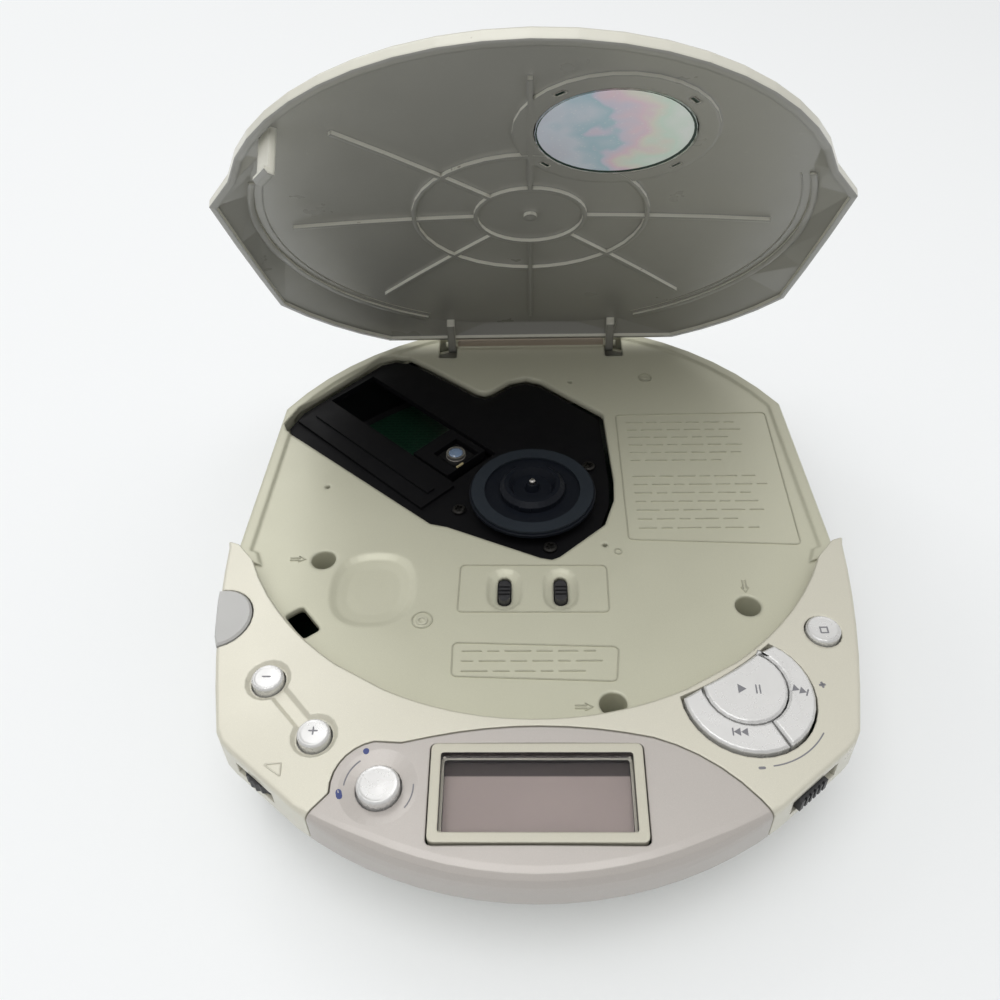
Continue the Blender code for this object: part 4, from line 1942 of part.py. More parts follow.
def screw(name, x, y, seat, sizes, skin):
    """A pan head screw; seat is the height under its head."""
    head_radius, head_height, shank, length = sizes
    profile = [
        (0.0, seat - length),
        (shank / 2, seat - length),
        (shank, seat - length + shank),
        (shank, seat),
        (head_radius, seat),
        (head_radius, seat + head_height / 2),
        (head_radius * SCREW_CROWN_SHARE, seat + head_height),
        (0.0, seat + head_height),
    ]
    body = mesh_object(name, turned(profile, (x, y), 14), skin, (x, y, seat))
    top = seat + head_height
    cuts = []
    for i in range(2):
        bar = rounded_box((x, y), head_radius * 1.2, DRIVE_SLOT_WIDTH, GAP / 2, 1, i * pi / 2 + pi / 7)
        cuts.append(cutter(f"{name}_drive_{i}", prism(bar, top - DRIVE_SLOT_DEPTH, top + CUT_OVER)))
    return combine(body, cuts)


def make_screws_and_dampers(skins):
    sizes = (SCREW_HEAD_RADIUS, SCREW_HEAD_HEIGHT, SCREW_SHANK_RADIUS, SCREW_LENGTH)
    for name, x, y in SCREW_PLACES:
        screw(f"case_screw_{name}", x, y, TUBE_FLOOR_Z + TUBE_FLOOR + GAP, sizes, skins["steel"])
    sizes = (CHASSIS_SCREW_RADIUS, CHASSIS_SCREW_HEAD, CHASSIS_SCREW_SHANK, CHASSIS_SCREW_LENGTH)
    under, post_top = damper_seats()
    base, top = post_top + GAP, under - GAP
    bore = CHASSIS_SCREW_SHANK + GAP
    third = DAMPER_HEIGHT / 3
    for name, x, y in CHASSIS_SCREWS:
        screw(f"chassis_screw_{name}", x, y, CHASSIS_Z + GAP, sizes, skins["steel"])
        profile = [
            (bore, base),
            (DAMPER_RADIUS, base),
            (DAMPER_RADIUS, base + third),
            (DAMPER_WAIST, base + third),
            (DAMPER_WAIST, top - third),
            (DAMPER_RADIUS, top - third),
            (DAMPER_RADIUS, top),
            (bore, top),
        ]
        mesh_object(f"damper_{name}", turned(profile, (x, y), 12), skins["rubber"], (x, y, base))


def make_jacks(skins):
    half = JACK_SIDE / 2
    for name, y, bore in (("phones_jack", PHONES_Y, PHONES_BORE), ("dc_jack", DC_Y, DC_BORE)):
        left, right = JACK_X - JACK_LENGTH / 2, JACK_X + JACK_LENGTH / 2
        block = square_box(left, right, y - half, y + half, JACK_Z - half, JACK_Z + half)
        jack = mesh_object(name, block, skins["black"], (JACK_X, y, JACK_Z))
        nose = tube_between((JACK_NOSE_X, y, JACK_Z), (left + SINK, y, JACK_Z), JACK_NOSE_RADIUS, 24)
        combine(jack, [cutter(f"{name}_nose", nose)], "UNION")
        ends = (JACK_NOSE_X - CUT_OVER, y, JACK_Z), (JACK_NOSE_X + JACK_BORE_DEPTH, y, JACK_Z)
        combine(jack, [cutter(f"{name}_bore", tube_between(*ends, bore, 24))])
        if name == "dc_jack":
            ends = (JACK_NOSE_X + GAP, y, JACK_Z), (JACK_NOSE_X + JACK_BORE_DEPTH + SINK, y, JACK_Z)
            combine(jack, [cutter("dc_pin", tube_between(*ends, DC_PIN, 12))], "UNION")


def make_skins():
    """Materials by name: colour, roughness and metallic."""
    finishes = {
        "beige": ((0.52, 0.50, 0.43), 0.50, 0.0),
        "cream": ((0.66, 0.64, 0.57), 0.42, 0.0),
        "case": ((0.50, 0.49, 0.44), 0.50, 0.0),
        "silver": ((0.60, 0.59, 0.62), 0.32, 0.6),
        "bright": ((0.72, 0.72, 0.72), 0.25, 0.8),
        "lilac": ((0.55, 0.53, 0.58), 0.45, 0.0),
        "lid": ((0.45, 0.43, 0.39), 0.45, 0.0),
        "badge": ((0.58, 0.57, 0.58), 0.30, 0.5),
        "foil": ((0.70, 0.72, 0.74), 0.15, 1.0),
        "black": ((0.02, 0.02, 0.022), 0.50, 0.0),
        "slate": ((0.05, 0.055, 0.07), 0.50, 0.0),
        "charcoal": ((0.06, 0.06, 0.065), 0.55, 0.0),
        "rubber": ((0.015, 0.015, 0.015), 0.85, 0.0),
        "steel": ((0.56, 0.55, 0.53), 0.28, 1.0),
        "nickel": ((0.66, 0.64, 0.60), 0.25, 1.0),
        "board": ((0.05, 0.16, 0.08), 0.55, 0.0),
        "lcd": ((0.30, 0.28, 0.30), 0.40, 0.0),
        "cell": ((0.35, 0.36, 0.38), 0.35, 0.3),
        "lens": ((0.10, 0.14, 0.22), 0.08, 0.0),
    }
    skins = {name: material(name, *values) for name, values in finishes.items()}
    skins["glass"] = material("glass", (0.62, 0.58, 0.60), 0.10, 0.0, 0.6)
    return skins


def main():
    clear_scene()
    skins = make_skins()
    make_bottom_case(skins["case"])
    make_battery_door(skins["case"])
    make_cells_and_contacts(skins)
    make_deck(skins["beige"])
    make_front_panel(skins["cream"])
    make_fascia(skins)
    make_keys(skins)
    make_boards(skins)
    make_open_button(skins)
    make_hold_slider(skins["charcoal"])
    make_volume_wheel(skins["charcoal"])
    make_switches(skins["charcoal"])
    make_lid(skins)
    make_mechanism(skins)
    make_turntable(skins)
    make_screws_and_dampers(skins)
    make_jacks(skins)


main()
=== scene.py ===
"""Portable disc player with its lid open: surface finishes, moulded and printed marks, studio and camera."""

import json
from math import cos, pi, radians, sin, tau

import bmesh
import bpy
from mathutils import Matrix, Vector
from mathutils.bvhtree import BVHTree

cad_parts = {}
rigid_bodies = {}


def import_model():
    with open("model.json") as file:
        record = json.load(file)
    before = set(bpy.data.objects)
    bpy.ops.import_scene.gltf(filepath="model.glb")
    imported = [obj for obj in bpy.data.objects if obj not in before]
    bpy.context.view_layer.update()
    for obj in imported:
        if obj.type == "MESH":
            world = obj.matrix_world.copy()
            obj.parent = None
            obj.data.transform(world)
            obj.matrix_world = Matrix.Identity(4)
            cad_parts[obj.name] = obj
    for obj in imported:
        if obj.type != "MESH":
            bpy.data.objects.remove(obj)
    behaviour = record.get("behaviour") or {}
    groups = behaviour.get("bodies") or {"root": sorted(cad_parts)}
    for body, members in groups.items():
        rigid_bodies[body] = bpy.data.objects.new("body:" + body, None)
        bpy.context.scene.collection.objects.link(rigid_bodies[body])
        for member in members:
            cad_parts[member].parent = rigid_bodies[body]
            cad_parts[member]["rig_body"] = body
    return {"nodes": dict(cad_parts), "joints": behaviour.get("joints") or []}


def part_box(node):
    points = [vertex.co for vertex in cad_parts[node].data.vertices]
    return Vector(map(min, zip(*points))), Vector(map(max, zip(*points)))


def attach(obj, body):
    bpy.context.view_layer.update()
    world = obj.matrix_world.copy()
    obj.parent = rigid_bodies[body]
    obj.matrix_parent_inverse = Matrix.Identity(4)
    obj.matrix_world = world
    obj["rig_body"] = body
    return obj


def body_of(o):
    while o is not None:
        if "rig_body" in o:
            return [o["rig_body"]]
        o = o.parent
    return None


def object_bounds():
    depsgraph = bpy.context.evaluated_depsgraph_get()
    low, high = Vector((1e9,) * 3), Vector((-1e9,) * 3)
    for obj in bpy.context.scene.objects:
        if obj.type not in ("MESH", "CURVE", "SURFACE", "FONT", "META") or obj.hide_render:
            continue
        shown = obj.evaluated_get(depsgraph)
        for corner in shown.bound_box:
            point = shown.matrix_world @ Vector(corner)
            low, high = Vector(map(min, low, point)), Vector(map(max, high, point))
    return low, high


bl_info = {
    "name": "Portable Disc Player Finish",
    "version": (1, 0, 0),
    "blender": (4, 5, 0),
    "location": "3D View > Sidebar > Disc Player",
    "description": "Dresses the packed disc player with finishes, marks, floor, light and camera",
    "category": "Object",
}

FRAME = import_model()
NODES = FRAME["nodes"]
CAD_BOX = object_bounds()
HINGE = next(joint for joint in FRAME["joints"] if joint["name"] == "lid_hinge")
HINGE_TURN = -radians(HINGE["range_deg"][1])
HINGE_LINE = HINGE["pos_m"][1]

# Where paint changes on one moulding, in metres
PAINT_EDGE = 0.0003
FINE_EDGE = 0.0002
LENS_EDGE = 0.0001
# Band of painted shade on the deck between the hinge arms, where the lid's shadow falls
SHADED_BAND_HALF = 0.0195
SHADED_BAND_LEAD = 0.0012
SHADED_BAND_DEPTH = 0.0015
LENS_COLLAR = 0.0006
SHIELD_X = -0.0320
SHIELD_Y = 0.0300
SHIELD_EDGE = 0.0020
SHIELD_FACING = (0.64, -0.76, 0.0)
DISPLAY_BAND = 0.0039
CELL_BAND = 0.0175

# Painted reflection: pastel diffraction bands of the foil, as shares of its width
FOIL_PAINTED_REFLECTION = (
    (0.0, (0.70, 0.72, 0.82)),
    (0.20, (0.72, 0.78, 0.88)),
    (0.40, (0.50, 0.68, 0.78)),
    (0.45, (0.74, 0.72, 0.86)),
    (0.60, (0.88, 0.70, 0.80)),
    (0.70, (0.86, 0.84, 0.78)),
    (0.82, (0.76, 0.90, 0.82)),
    (1.0, (0.86, 0.92, 0.90)),
)

# Raised outlines on the deck: corners of each frame
LABEL_CORNERS = {
    "caution_frame": [(0.0207, 0.0294), (0.0577, 0.0299), (0.0575, -0.0156), (0.0206, -0.0138)],
    "reading_frame": [(-0.0162, -0.0414), (0.0167, -0.0426), (0.0157, -0.0511), (-0.0161, -0.0498)],
    "switch_frame": [(-0.0155, -0.0208), (0.0156, -0.0211), (0.0154, -0.0341), (-0.0157, -0.0339)],
}
LABEL_CORNER_RADIUS = 0.0012

# Rows of plain dashes: first place, pitch of the rows, their number, their width, rows before the gap
DASH_ROWS = {
    "caution_rows": ((0.0232, 0.0262), 0.0028, 13, 0.0310, 6),
    "reading_rows": ((-0.0142, -0.0437), 0.0024, 3, 0.0280, 3),
}

# Arrows at the screw wells: centre and angle
ARROWS = {
    "left_arrow": ((-0.0505, -0.0188), 0.0),
    "right_arrow": ((0.0434, -0.0272), -pi / 2),
    "front_arrow": ((0.0090, -0.0567), 0.0),
}

# Mould rings on the deck: centre and radius
MOULD_RINGS = {
    "left_mould_ring": ((-0.0225, -0.0358), 0.0022),
    "rear_mould_ring": ((0.0295, 0.0446), 0.0018),
    "middle_mould_ring": ((0.0182, -0.0172), 0.0009),
}

# Corners of the volume wedge, and places of the prints on the front
VOLUME_WEDGE = [(-0.0478, -0.0706), (-0.0442, -0.0704), (-0.0440, -0.0732)]
BAND_DOT = (-0.0295, -0.0688)
MEMORY_DOT = (-0.0334, -0.0765)
SEARCH_MINUS = (0.0386, -0.0717)
SEARCH_PLUS = (0.0523, -0.0550)
PLAY_TRIANGLE = (0.0382, -0.0570)
PAUSE_BARS = (0.0398, -0.0570)
STOP_SQUARE = (0.0549, -0.0434)
MINUS_BAR = (-0.0497, -0.0535)
PLUS_CROSS = (-0.0393, -0.0650)

# Skip symbols: key, centre and angle
SKIPS = {
    "next_symbol": ("next_button", (0.0477, -0.0569), 1.2 - pi / 2),
    "previous_symbol": ("previous_button", (0.0357, -0.0656), pi),
}
PICKUP_TRIMMER = (-0.01715, 0.01290)
TRIMMER_ANGLE = radians(46.2)

# Soft boxes: place and width
OVERHEAD_BOX = ((-0.10, -0.30, 1.00), 0.80)
REAR_BOX = ((-0.45, 0.60, 0.75), 0.60)


def middle(node):
    """The middle of a CAD node's box, seen from above."""
    low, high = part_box(node)
    centre = (low + high) / 2
    return (centre.x, centre.y)


# Sizes and colours that a user would change


class PlayerColours(bpy.types.PropertyGroup):
    """Colours of the mouldings, the plating and the prints."""

    def tint(label, about, value):
        """A colour that the panel shows."""
        return bpy.props.FloatVectorProperty(
            name=label, description=about, default=value, subtype="COLOR", size=3, min=0.0, max=1.0
        )

    case: tint("Case", "Moulded lower case and battery door", (0.60, 0.585, 0.50))
    deck: tint("Deck", "Pearly beige deck under the disc", (0.60, 0.595, 0.47))
    front: tint("Front panel", "Cream paint with fine flake", (0.68, 0.66, 0.56))
    fascia: tint("Fascia", "Silver paint with a lilac cast", (0.50, 0.468, 0.44))
    bezel: tint("Display bezel", "Champagne frame of the display", (0.56, 0.54, 0.45))
    lid_out: tint("Lid outside", "Cream paint of the lid's dome and rim", (0.74, 0.73, 0.64))
    # Painted shade: the inside of the lid is beige plastic in the lid's own shadow, and this dark grey stands
    # in for that shadow
    lid_inside_shade: tint("Lid inside", "Unpainted grey plastic inside the lid", (0.265, 0.262, 0.240))
    keys: tint("Keys", "Satin plated keys", (0.78, 0.78, 0.775))
    release: tint("Release button", "Lilac grey lid release", (0.50, 0.50, 0.49))
    black: tint("Chassis", "Black glass filled plastic", (0.004, 0.004, 0.005))
    slate: tint("Turntable", "Blue black moulded turntable", (0.008, 0.010, 0.015))
    charcoal: tint("Sliders", "Dark grey sliders and wheel", (0.035, 0.035, 0.038))
    rubber: tint("Rubber", "Disc pad and damper rubber", (0.012, 0.012, 0.013))
    steel: tint("Steel", "Rods, screws and shaft", (0.62, 0.60, 0.57))
    board: tint("Circuit board", "Green solder mask", (0.004, 0.022, 0.012))
    glass_dark: tint("Display glass", "Mauve grey liquid crystal ground", (0.47, 0.405, 0.375))
    # Painted shade: the hinge band is the deck's own moulding, darkened and browned where the lid's shadow
    # falls. The same colour also serves for the real paint chips on the lid
    hinge_shade_and_chips: tint("Hinge band", "Brownish band between the hinge arms", (0.30, 0.25, 0.19))
    pad: tint("Disc pad", "Slate rubber ring under the disc", (0.022, 0.028, 0.036))
    screws: tint("Screws", "Blackened screw steel", (0.060, 0.058, 0.055))
    amber: tint("Amber", "Amber trimmer on the pickup", (0.42, 0.36, 0.20))
    ink: tint("Ink", "Grey print on the keys", (0.22, 0.22, 0.24))
    dots: tint("Dots", "Blue dots beside the band key", (0.05, 0.07, 0.22))
    display_shade: tint("Display shade", "Dark walls and band of the display", (0.030, 0.024, 0.027))
    tracks: tint("Tracks", "Copper tracks under the solder mask", (0.012, 0.050, 0.026))
    sleeve: tint("Cell sleeve", "Dark sleeve of the dry cells", (0.030, 0.034, 0.042))
    sleeve_band: tint("Cell band", "Pale band of the dry cells", (0.55, 0.55, 0.52))
    lens_blue: tint("Pickup lens", "Blue coating of the pickup's lens", (0.30, 0.42, 0.62))
    sky: tint("Sky", "Warm white of the light from all round", (1.0, 0.99, 0.97))
    background: tint("Background", "White behind the player", (0.97, 0.985, 1.0))
    clips: tint("Clips", "Dark green gaps round the lid's foil", (0.012, 0.034, 0.026))
    floor: tint("Floor", "Pale studio floor", (0.88, 0.90, 0.915))


class PlayerMarks(bpy.types.PropertyGroup):
    """Sizes of the fine marks on the mouldings."""

    def length(label, about, value):
        """A length that the panel shows."""
        return bpy.props.FloatProperty(
            name=label, description=about, default=value, unit="LENGTH", precision=5, min=0.0
        )

    ridge: length("Ridge width", "Width of the raised outlines on the deck", 0.00030)
    ridge_proud: length("Ridge height", "Height of the raised outlines on the deck", 0.00017)
    print_proud: length("Print height", "Thickness of the ink on the keys", 0.00004)
    word: length("Dash", "Length of a plain dash in the raised rows on the deck", 0.0040)
    word_shares: bpy.props.FloatVectorProperty(
        name="Dash shares", description="Lengths of neighbouring dashes", default=(1.0, 0.6, 1.3, 0.8), size=4
    )
    row_shares: bpy.props.FloatVectorProperty(
        name="Row shares", description="Lengths of neighbouring rows", default=(0.94, 1.0, 0.86), size=3
    )
    sink: length("Sink", "Depth that a mark reaches into what carries it", 0.00005)
    symbol: length("Key symbol", "Height of the symbols on the keys", 0.0019)
    arrow: length("Arrow length", "Length of the arrows at the screw wells", 0.0038)
    step: length("Lid step", "Radius of the step along the inside of the lid", 0.0575)
    step_width: length("Lid step width", "Width of the step along the inside of the lid", 0.0013)
    step_proud: length("Lid step height", "Height of the step along the inside of the lid", 0.0005)
    bead: length("Lid bead", "Radius of the fine bead beside the lid's step", 0.0553)
    crescent: length("Foil gap", "Dark gap beside the lid's foil, where it is widest", 0.0008)
    dot: length("Dot", "Radius of the dots beside the band key", 0.00055)
    line: length("Line", "Width of the printed lines", 0.00024)
    trimmer: length("Trimmer", "Length of the amber trimmer on the pickup", 0.0022)
    trimmer_width: length("Trimmer width", "Width of the amber trimmer on the pickup", 0.0006)
    trimmer_proud: length("Trimmer height", "Height of the amber trimmer on the pickup", 0.0003)
    band_bow: length("Band bow", "Radius of the printed lines round the band key", 0.0060)
    key_bow: length("Leader", "Radius of the printed line round the play keys", 0.0150)


class PlayerStudio(bpy.types.PropertyGroup):
    """Camera and light."""

    eye: bpy.props.FloatVectorProperty(
        name="Eye", description="Place of the camera", default=(-0.000833, -0.163309, 0.176964),
        subtype="TRANSLATION", unit="LENGTH", size=3,
    )
    pitch: bpy.props.FloatProperty(
        name="Pitch", description="Camera's tilt below the horizon", default=radians(43.441), unit="ROTATION"
    )
    yaw: bpy.props.FloatProperty(
        name="Yaw", description="Camera's turn about the upright axis", default=radians(2.288),
        unit="ROTATION",
    )
    roll: bpy.props.FloatProperty(
        name="Roll", description="Camera's roll about its own line of sight", default=radians(-2.06),
        unit="ROTATION",
    )
    lens: bpy.props.FloatProperty(
        name="Lens", description="Focal length in millimetres on a 36 mm sensor", default=35.602
    )
    sky: bpy.props.FloatProperty(
        name="Sky", description="Strength of the soft light from all round", default=0.92
    )
    horizon: bpy.props.FloatProperty(
        name="Horizon", description="Share of the sky's light that is left at the horizon", default=0.30
    )
    near: bpy.props.FloatProperty(
        name="Near side", description="Share of the sky's light that is left behind the camera", default=0.62
    )
    seat: bpy.props.FloatProperty(
        name="Seat", description="Gap between the floor and the player", default=0.0001, unit="LENGTH",
        precision=5,
    )
    clear: bpy.props.FloatProperty(
        name="Clear floor", description="Reach of the floor before it fades into the background",
        default=0.45, unit="LENGTH",
    )
    floor_half: bpy.props.FloatProperty(
        name="Floor", description="Half of the floor's width", default=3.0, unit="LENGTH"
    )
    overhead: bpy.props.FloatProperty(
        name="Overhead", description="Power of the large lamp above the player, in watts", default=4.3
    )
    rear: bpy.props.FloatProperty(
        name="Rear", description="Power of the lamp behind and to the left, in watts", default=1.6
    )


PROPERTY_GROUPS = (PlayerColours, PlayerMarks, PlayerStudio)


def colours():
    """The player's colours, as the panel has them."""
    return bpy.context.scene.player_colours


def marks():
    """The sizes of the marks, as the panel has them."""
    return bpy.context.scene.player_marks


def studio():
    """The camera and light, as the panel has them."""
    return bpy.context.scene.player_studio


# Materials


class Finish:
    """One finish of the player: a Principled shader and the patterns that feed it."""

    def __init__(self, name, colour, roughness, metallic=0.0, **constants):
        self.material = bpy.data.materials.new(name)
        self.material.use_nodes = True
        self.tree = self.material.node_tree
        self.shader = self.tree.nodes["Principled BSDF"]
        self.place = self.tree.nodes.new("ShaderNodeTexCoord")
        self.base = tuple(colour)
        self.shader.inputs["Base Color"].default_value = (*colour, 1.0)
        self.shader.inputs["Roughness"].default_value = roughness
        self.shader.inputs["Metallic"].default_value = metallic
        for constant, value in constants.items():
            socket = constant.replace("_", " ").title().replace("Ior", "IOR")
            self.shader.inputs[socket].default_value = value
        self.paint = None
        self.relief = None

    def node(self, kind, **fields):
        """A new node of this finish, with its fields set."""
        made = self.tree.nodes.new(kind)
        for field, value in fields.items():
            setattr(made, field, value)
        return made

    def join(self, source, target):
        """Links one socket to another."""
        self.tree.links.new(source, target)

    def scaled(self, size, stretch=(1.0, 1.0, 1.0)):
        """Object coordinates in units of size, squeezed along the axes by stretch."""
        mapping = self.node("ShaderNodeMapping")
        mapping.inputs["Scale"].default_value = [share / size for share in stretch]
        self.join(self.place.outputs["Object"], mapping.inputs["Vector"])
        return mapping.outputs["Vector"]

    def noise(self, size, detail=2.0, stretch=(1.0, 1.0, 1.0)):
        """Cloudy noise whose patches are about size across."""
        made = self.node("ShaderNodeTexNoise")
        made.inputs["Scale"].default_value = 1.0
        made.inputs["Detail"].default_value = detail
        self.join(self.scaled(size, stretch), made.inputs["Vector"])
        return made.outputs["Fac"]

    def cells(self, size):
        """Distance from the nearest of points scattered about size apart."""
        made = self.node("ShaderNodeTexVoronoi")
        made.inputs["Scale"].default_value = 1.0
        self.join(self.scaled(size), made.inputs["Vector"])
        return made.outputs["Distance"]

    def spread(self, source, low, high, start=0.0, end=1.0):
        """source from start to end, mapped to low to high."""
        made = self.node("ShaderNodeMapRange")
        made.clamp = True
        for socket, value in (("From Min", start), ("From Max", end), ("To Min", low), ("To Max", high)):
            made.inputs[socket].default_value = value
        self.join(source, made.inputs["Value"])
        return made.outputs["Result"]

    def calculated(self, operation, first, second=0.0):
        """The result of a sum over sockets and numbers."""
        made = self.node("ShaderNodeMath", operation=operation)
        for value, socket in ((first, made.inputs[0]), (second, made.inputs[1])):
            if isinstance(value, (int, float)):
                socket.default_value = value
            else:
                self.join(value, socket)
        return made.outputs["Value"]

    def axis(self, name, coordinates="Object"):
        """One coordinate of the place, or of the normal, as the node was packed."""
        made = self.node("ShaderNodeSeparateXYZ")
        self.join(self.place.outputs[coordinates], made.inputs["Vector"])
        return made.outputs[name]

    def both(self, mask, *others):
        """Mask that holds only where all the masks hold."""
        for other in others:
            mask = self.calculated("MULTIPLY", mask, other)
        return mask

    def facing(self, way):
        """How far the surface faces along way, from -1 to 1."""
        made = self.node("ShaderNodeVectorMath", operation="DOT_PRODUCT")
        made.inputs[1].default_value = way
        self.join(self.place.outputs["Normal"], made.inputs[0])
        return made.outputs["Value"]

    def tinted(self, mask, colour):
        """Paints colour over what is there, as strongly as mask says."""
        mix = self.node("ShaderNodeMix", data_type="RGBA")
        mix.inputs["B"].default_value = (*colour, 1.0)
        if self.paint is None:
            mix.inputs["A"].default_value = (*self.base, 1.0)
        else:
            self.join(self.paint, mix.inputs["A"])
        self.join(mask, mix.inputs["Factor"])
        self.paint = mix.outputs["Result"]
        self.join(self.paint, self.shader.inputs["Base Color"])
        return self

    def mottled(self, size, share, tone=0.0):
        """Slow drift in the tone of the moulding."""
        colour = [channel * tone for channel in self.base]
        return self.tinted(self.spread(self.noise(size, 3.0), 0.0, share, 0.35, 0.75), colour)

    def flecked(self, size, colour, share):
        """Small specks, such as metal flake or dust."""
        specks = self.spread(self.cells(size), share, 0.0, 0.12, 0.22)
        return self.tinted(specks, colour)

    def smudged(self, size, low, high):
        """Roughness that changes where fingers and cloths have been."""
        self.join(self.spread(self.noise(size, 4.0), low, high, 0.3, 0.7), self.shader.inputs["Roughness"])
        return self

    def carved(self, made):
        """Puts the normal of a bump or bevel on top of what is there."""
        if self.relief is not None:
            self.join(self.relief, made.inputs["Normal"])
        self.relief = made.outputs["Normal"]
        self.join(self.relief, self.shader.inputs["Normal"])
        return self

    def raised(self, height, depth):
        """Bump from height over depth."""
        made = self.node("ShaderNodeBump")
        made.inputs["Strength"].default_value = 1.0
        made.inputs["Distance"].default_value = depth
        self.join(height, made.inputs["Height"])
        return self.carved(made)

    def softened(self, radius):
        """Rounds the look of edges and of steps that are narrower than radius."""
        made = self.node("ShaderNodeBevel", samples=6)
        made.inputs["Radius"].default_value = radius
        return self.carved(made)

    def grained(self, size, depth, stretch=(1.0, 1.0, 1.0)):
        """Spark eroded or brushed grain."""
        return self.raised(self.noise(size, 2.0, stretch), depth)

    def worn(self, size, colour, share):
        """Fine stray scratches."""
        line = self.spread(self.noise(size, 6.0, (1.0, 0.06, 1.0)), 0.0, share, 0.68, 0.74)
        return self.tinted(line, colour)


def moulded(name, colour, roughness=0.45, grain=0.00022, depth=0.000012):
    """Unpainted moulded plastic with a spark eroded skin."""
    finish = Finish(name, colour, roughness)
    finish.mottled(size=0.018, share=0.22, tone=0.90)
    finish.grained(grain, depth)
    finish.smudged(size=0.011, low=roughness - 0.06, high=roughness + 0.10)
    return finish


def flaked(name, colour, roughness, metallic, coat, edge=0.0004):
    """Sprayed paint with fine aluminium flake under a thin clear coat."""
    finish = Finish(name, colour, roughness, metallic, coat_weight=coat, coat_roughness=0.18)
    finish.softened(edge)
    finish.mottled(size=0.022, share=0.18, tone=0.90)
    finish.flecked(0.00021, [min(1.0, channel * 1.30) for channel in colour], 0.55)
    finish.flecked(0.00034, [channel * 0.80 for channel in colour], 0.35)
    finish.grained(size=0.00016, depth=0.000006)
    finish.smudged(size=0.014, low=roughness - 0.05, high=roughness + 0.07)
    return finish


def plated(name, colour, roughness):
    """Satin plating over moulded plastic."""
    finish = Finish(name, colour, roughness, 0.40)
    finish.softened(0.00035)
    finish.mottled(size=0.004, share=0.20, tone=0.82)
    finish.grained(size=0.00012, depth=0.000004)
    finish.smudged(size=0.003, low=roughness - 0.05, high=roughness + 0.08)
    return finish


def dull_black(name, colour, roughness=0.55, grain=0.00030):
    """Glass filled black plastic, which hardly shines."""
    finish = Finish(name, colour, roughness, specular_ior_level=0.16)
    finish.mottled(size=0.010, share=0.35, tone=0.60)
    finish.grained(size=grain, depth=0.000016)
    finish.smudged(size=0.009, low=roughness - 0.08, high=roughness + 0.12)
    return finish


def deck_pearl():
    """Pearly beige moulding with fine flake, with painted shade on the band that carries the hinge: darker
    and browner there, where the lid's shadow falls.
    """
    tone = colours()
    finish = flaked("deck_pearl", tone.deck, 0.36, 0.14, 0.0, edge=0.0011)
    front = HINGE_LINE - SHADED_BAND_LEAD
    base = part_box("deck")[1].z - SHADED_BAND_DEPTH
    away = finish.calculated("ABSOLUTE", finish.axis("X"))
    behind = finish.spread(finish.axis("Y"), 0.0, 1.0, front, front + PAINT_EDGE)
    within = finish.spread(away, 1.0, 0.0, SHADED_BAND_HALF, SHADED_BAND_HALF + FINE_EDGE)
    above = finish.spread(finish.axis("Z"), 0.0, 1.0, base, base + PAINT_EDGE)
    # Painted shade of the lid on the band between the hinge arms
    return finish.tinted(finish.both(behind, within, above), tone.hinge_shade_and_chips)


def pickup_holder():
    """Black holder whose collar round the lens is bright."""
    tone = colours()
    finish = Finish("lens_holder", tone.black, 0.40, specular_ior_level=0.3)
    finish.mottled(size=0.003, share=0.3, tone=0.6)
    low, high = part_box("objective_lens")
    centre = (low + high) / 2
    away = finish.node("ShaderNodeVectorMath", operation="DISTANCE")
    flat = finish.node("ShaderNodeVectorMath", operation="MULTIPLY")
    flat.inputs[1].default_value = (1.0, 1.0, 0.0)
    finish.join(finish.place.outputs["Object"], flat.inputs[0])
    finish.join(flat.outputs["Vector"], away.inputs[0])
    away.inputs[1].default_value = (centre.x, centre.y, 0.0)
    radius = (high.x - low.x) / 2
    edge = radius + LENS_COLLAR
    collar = finish.spread(away.outputs["Value"], 1.0, 0.0, edge, edge + LENS_EDGE)
    finish.tinted(collar, tone.steel)
    finish.join(collar, finish.shader.inputs["Metallic"])
    finish.grained(size=0.0002, depth=0.000006)
    return finish


def machined(name, colour, roughness):
    """Turned or drawn metal with fine tool marks."""
    finish = Finish(name, colour, roughness, 1.0)
    finish.mottled(size=0.002, share=0.35, tone=0.70)
    finish.grained(size=0.00009, depth=0.000005, stretch=(1.0, 1.0, 0.08))
    finish.smudged(size=0.0015, low=roughness - 0.06, high=roughness + 0.12)
    return finish


def lid_plastic():
    """Painted shade inside, a dark grey in place of the beige plastic in the lid's shadow, and cream paint on
    the dome and the rim outside.
    """
    tone = colours()
    # The base colour is painted shade, kept on the inside of the lid
    finish = Finish("lid_shell", tone.lid_inside_shade, 0.34, coat_weight=0.7, coat_roughness=0.26)
    finish.softened(0.0009)
    finish.mottled(size=0.030, share=0.30, tone=0.84)
    finish.worn(0.0016, [channel * 1.25 for channel in tone.lid_inside_shade], 0.20)
    finish.flecked(0.0016, [channel * 1.2 for channel in tone.lid_inside_shade], 0.08)
    painted = finish.spread(finish.facing(lid_outward()), 0.0, 1.0, -0.25, -0.15)
    finish.tinted(painted, tone.lid_out)
    # Real paint chips on the lid, in the same dark brown as the painted shade on the hinge band
    chips = finish.spread(finish.noise(0.0024, 5.0), 0.0, 0.75, 0.72, 0.75)
    finish.tinted(finish.both(chips, painted), tone.hinge_shade_and_chips)
    finish.grained(size=0.00026, depth=0.000010)
    finish.smudged(size=0.016, low=0.27, high=0.46)
    return finish


def lid_frame():
    """Matrix that takes a place on the closed lid to where it is now."""
    axle = Vector(HINGE["pos_m"])
    turn = Matrix.Rotation(HINGE_TURN, 4, "X")
    return Matrix.Translation(axle) @ turn @ Matrix.Translation(-axle)


def lid_outward():
    """The way that the top of the closed lid faces now."""
    return lid_frame().to_3x3() @ Vector((0.0, 0.0, 1.0))


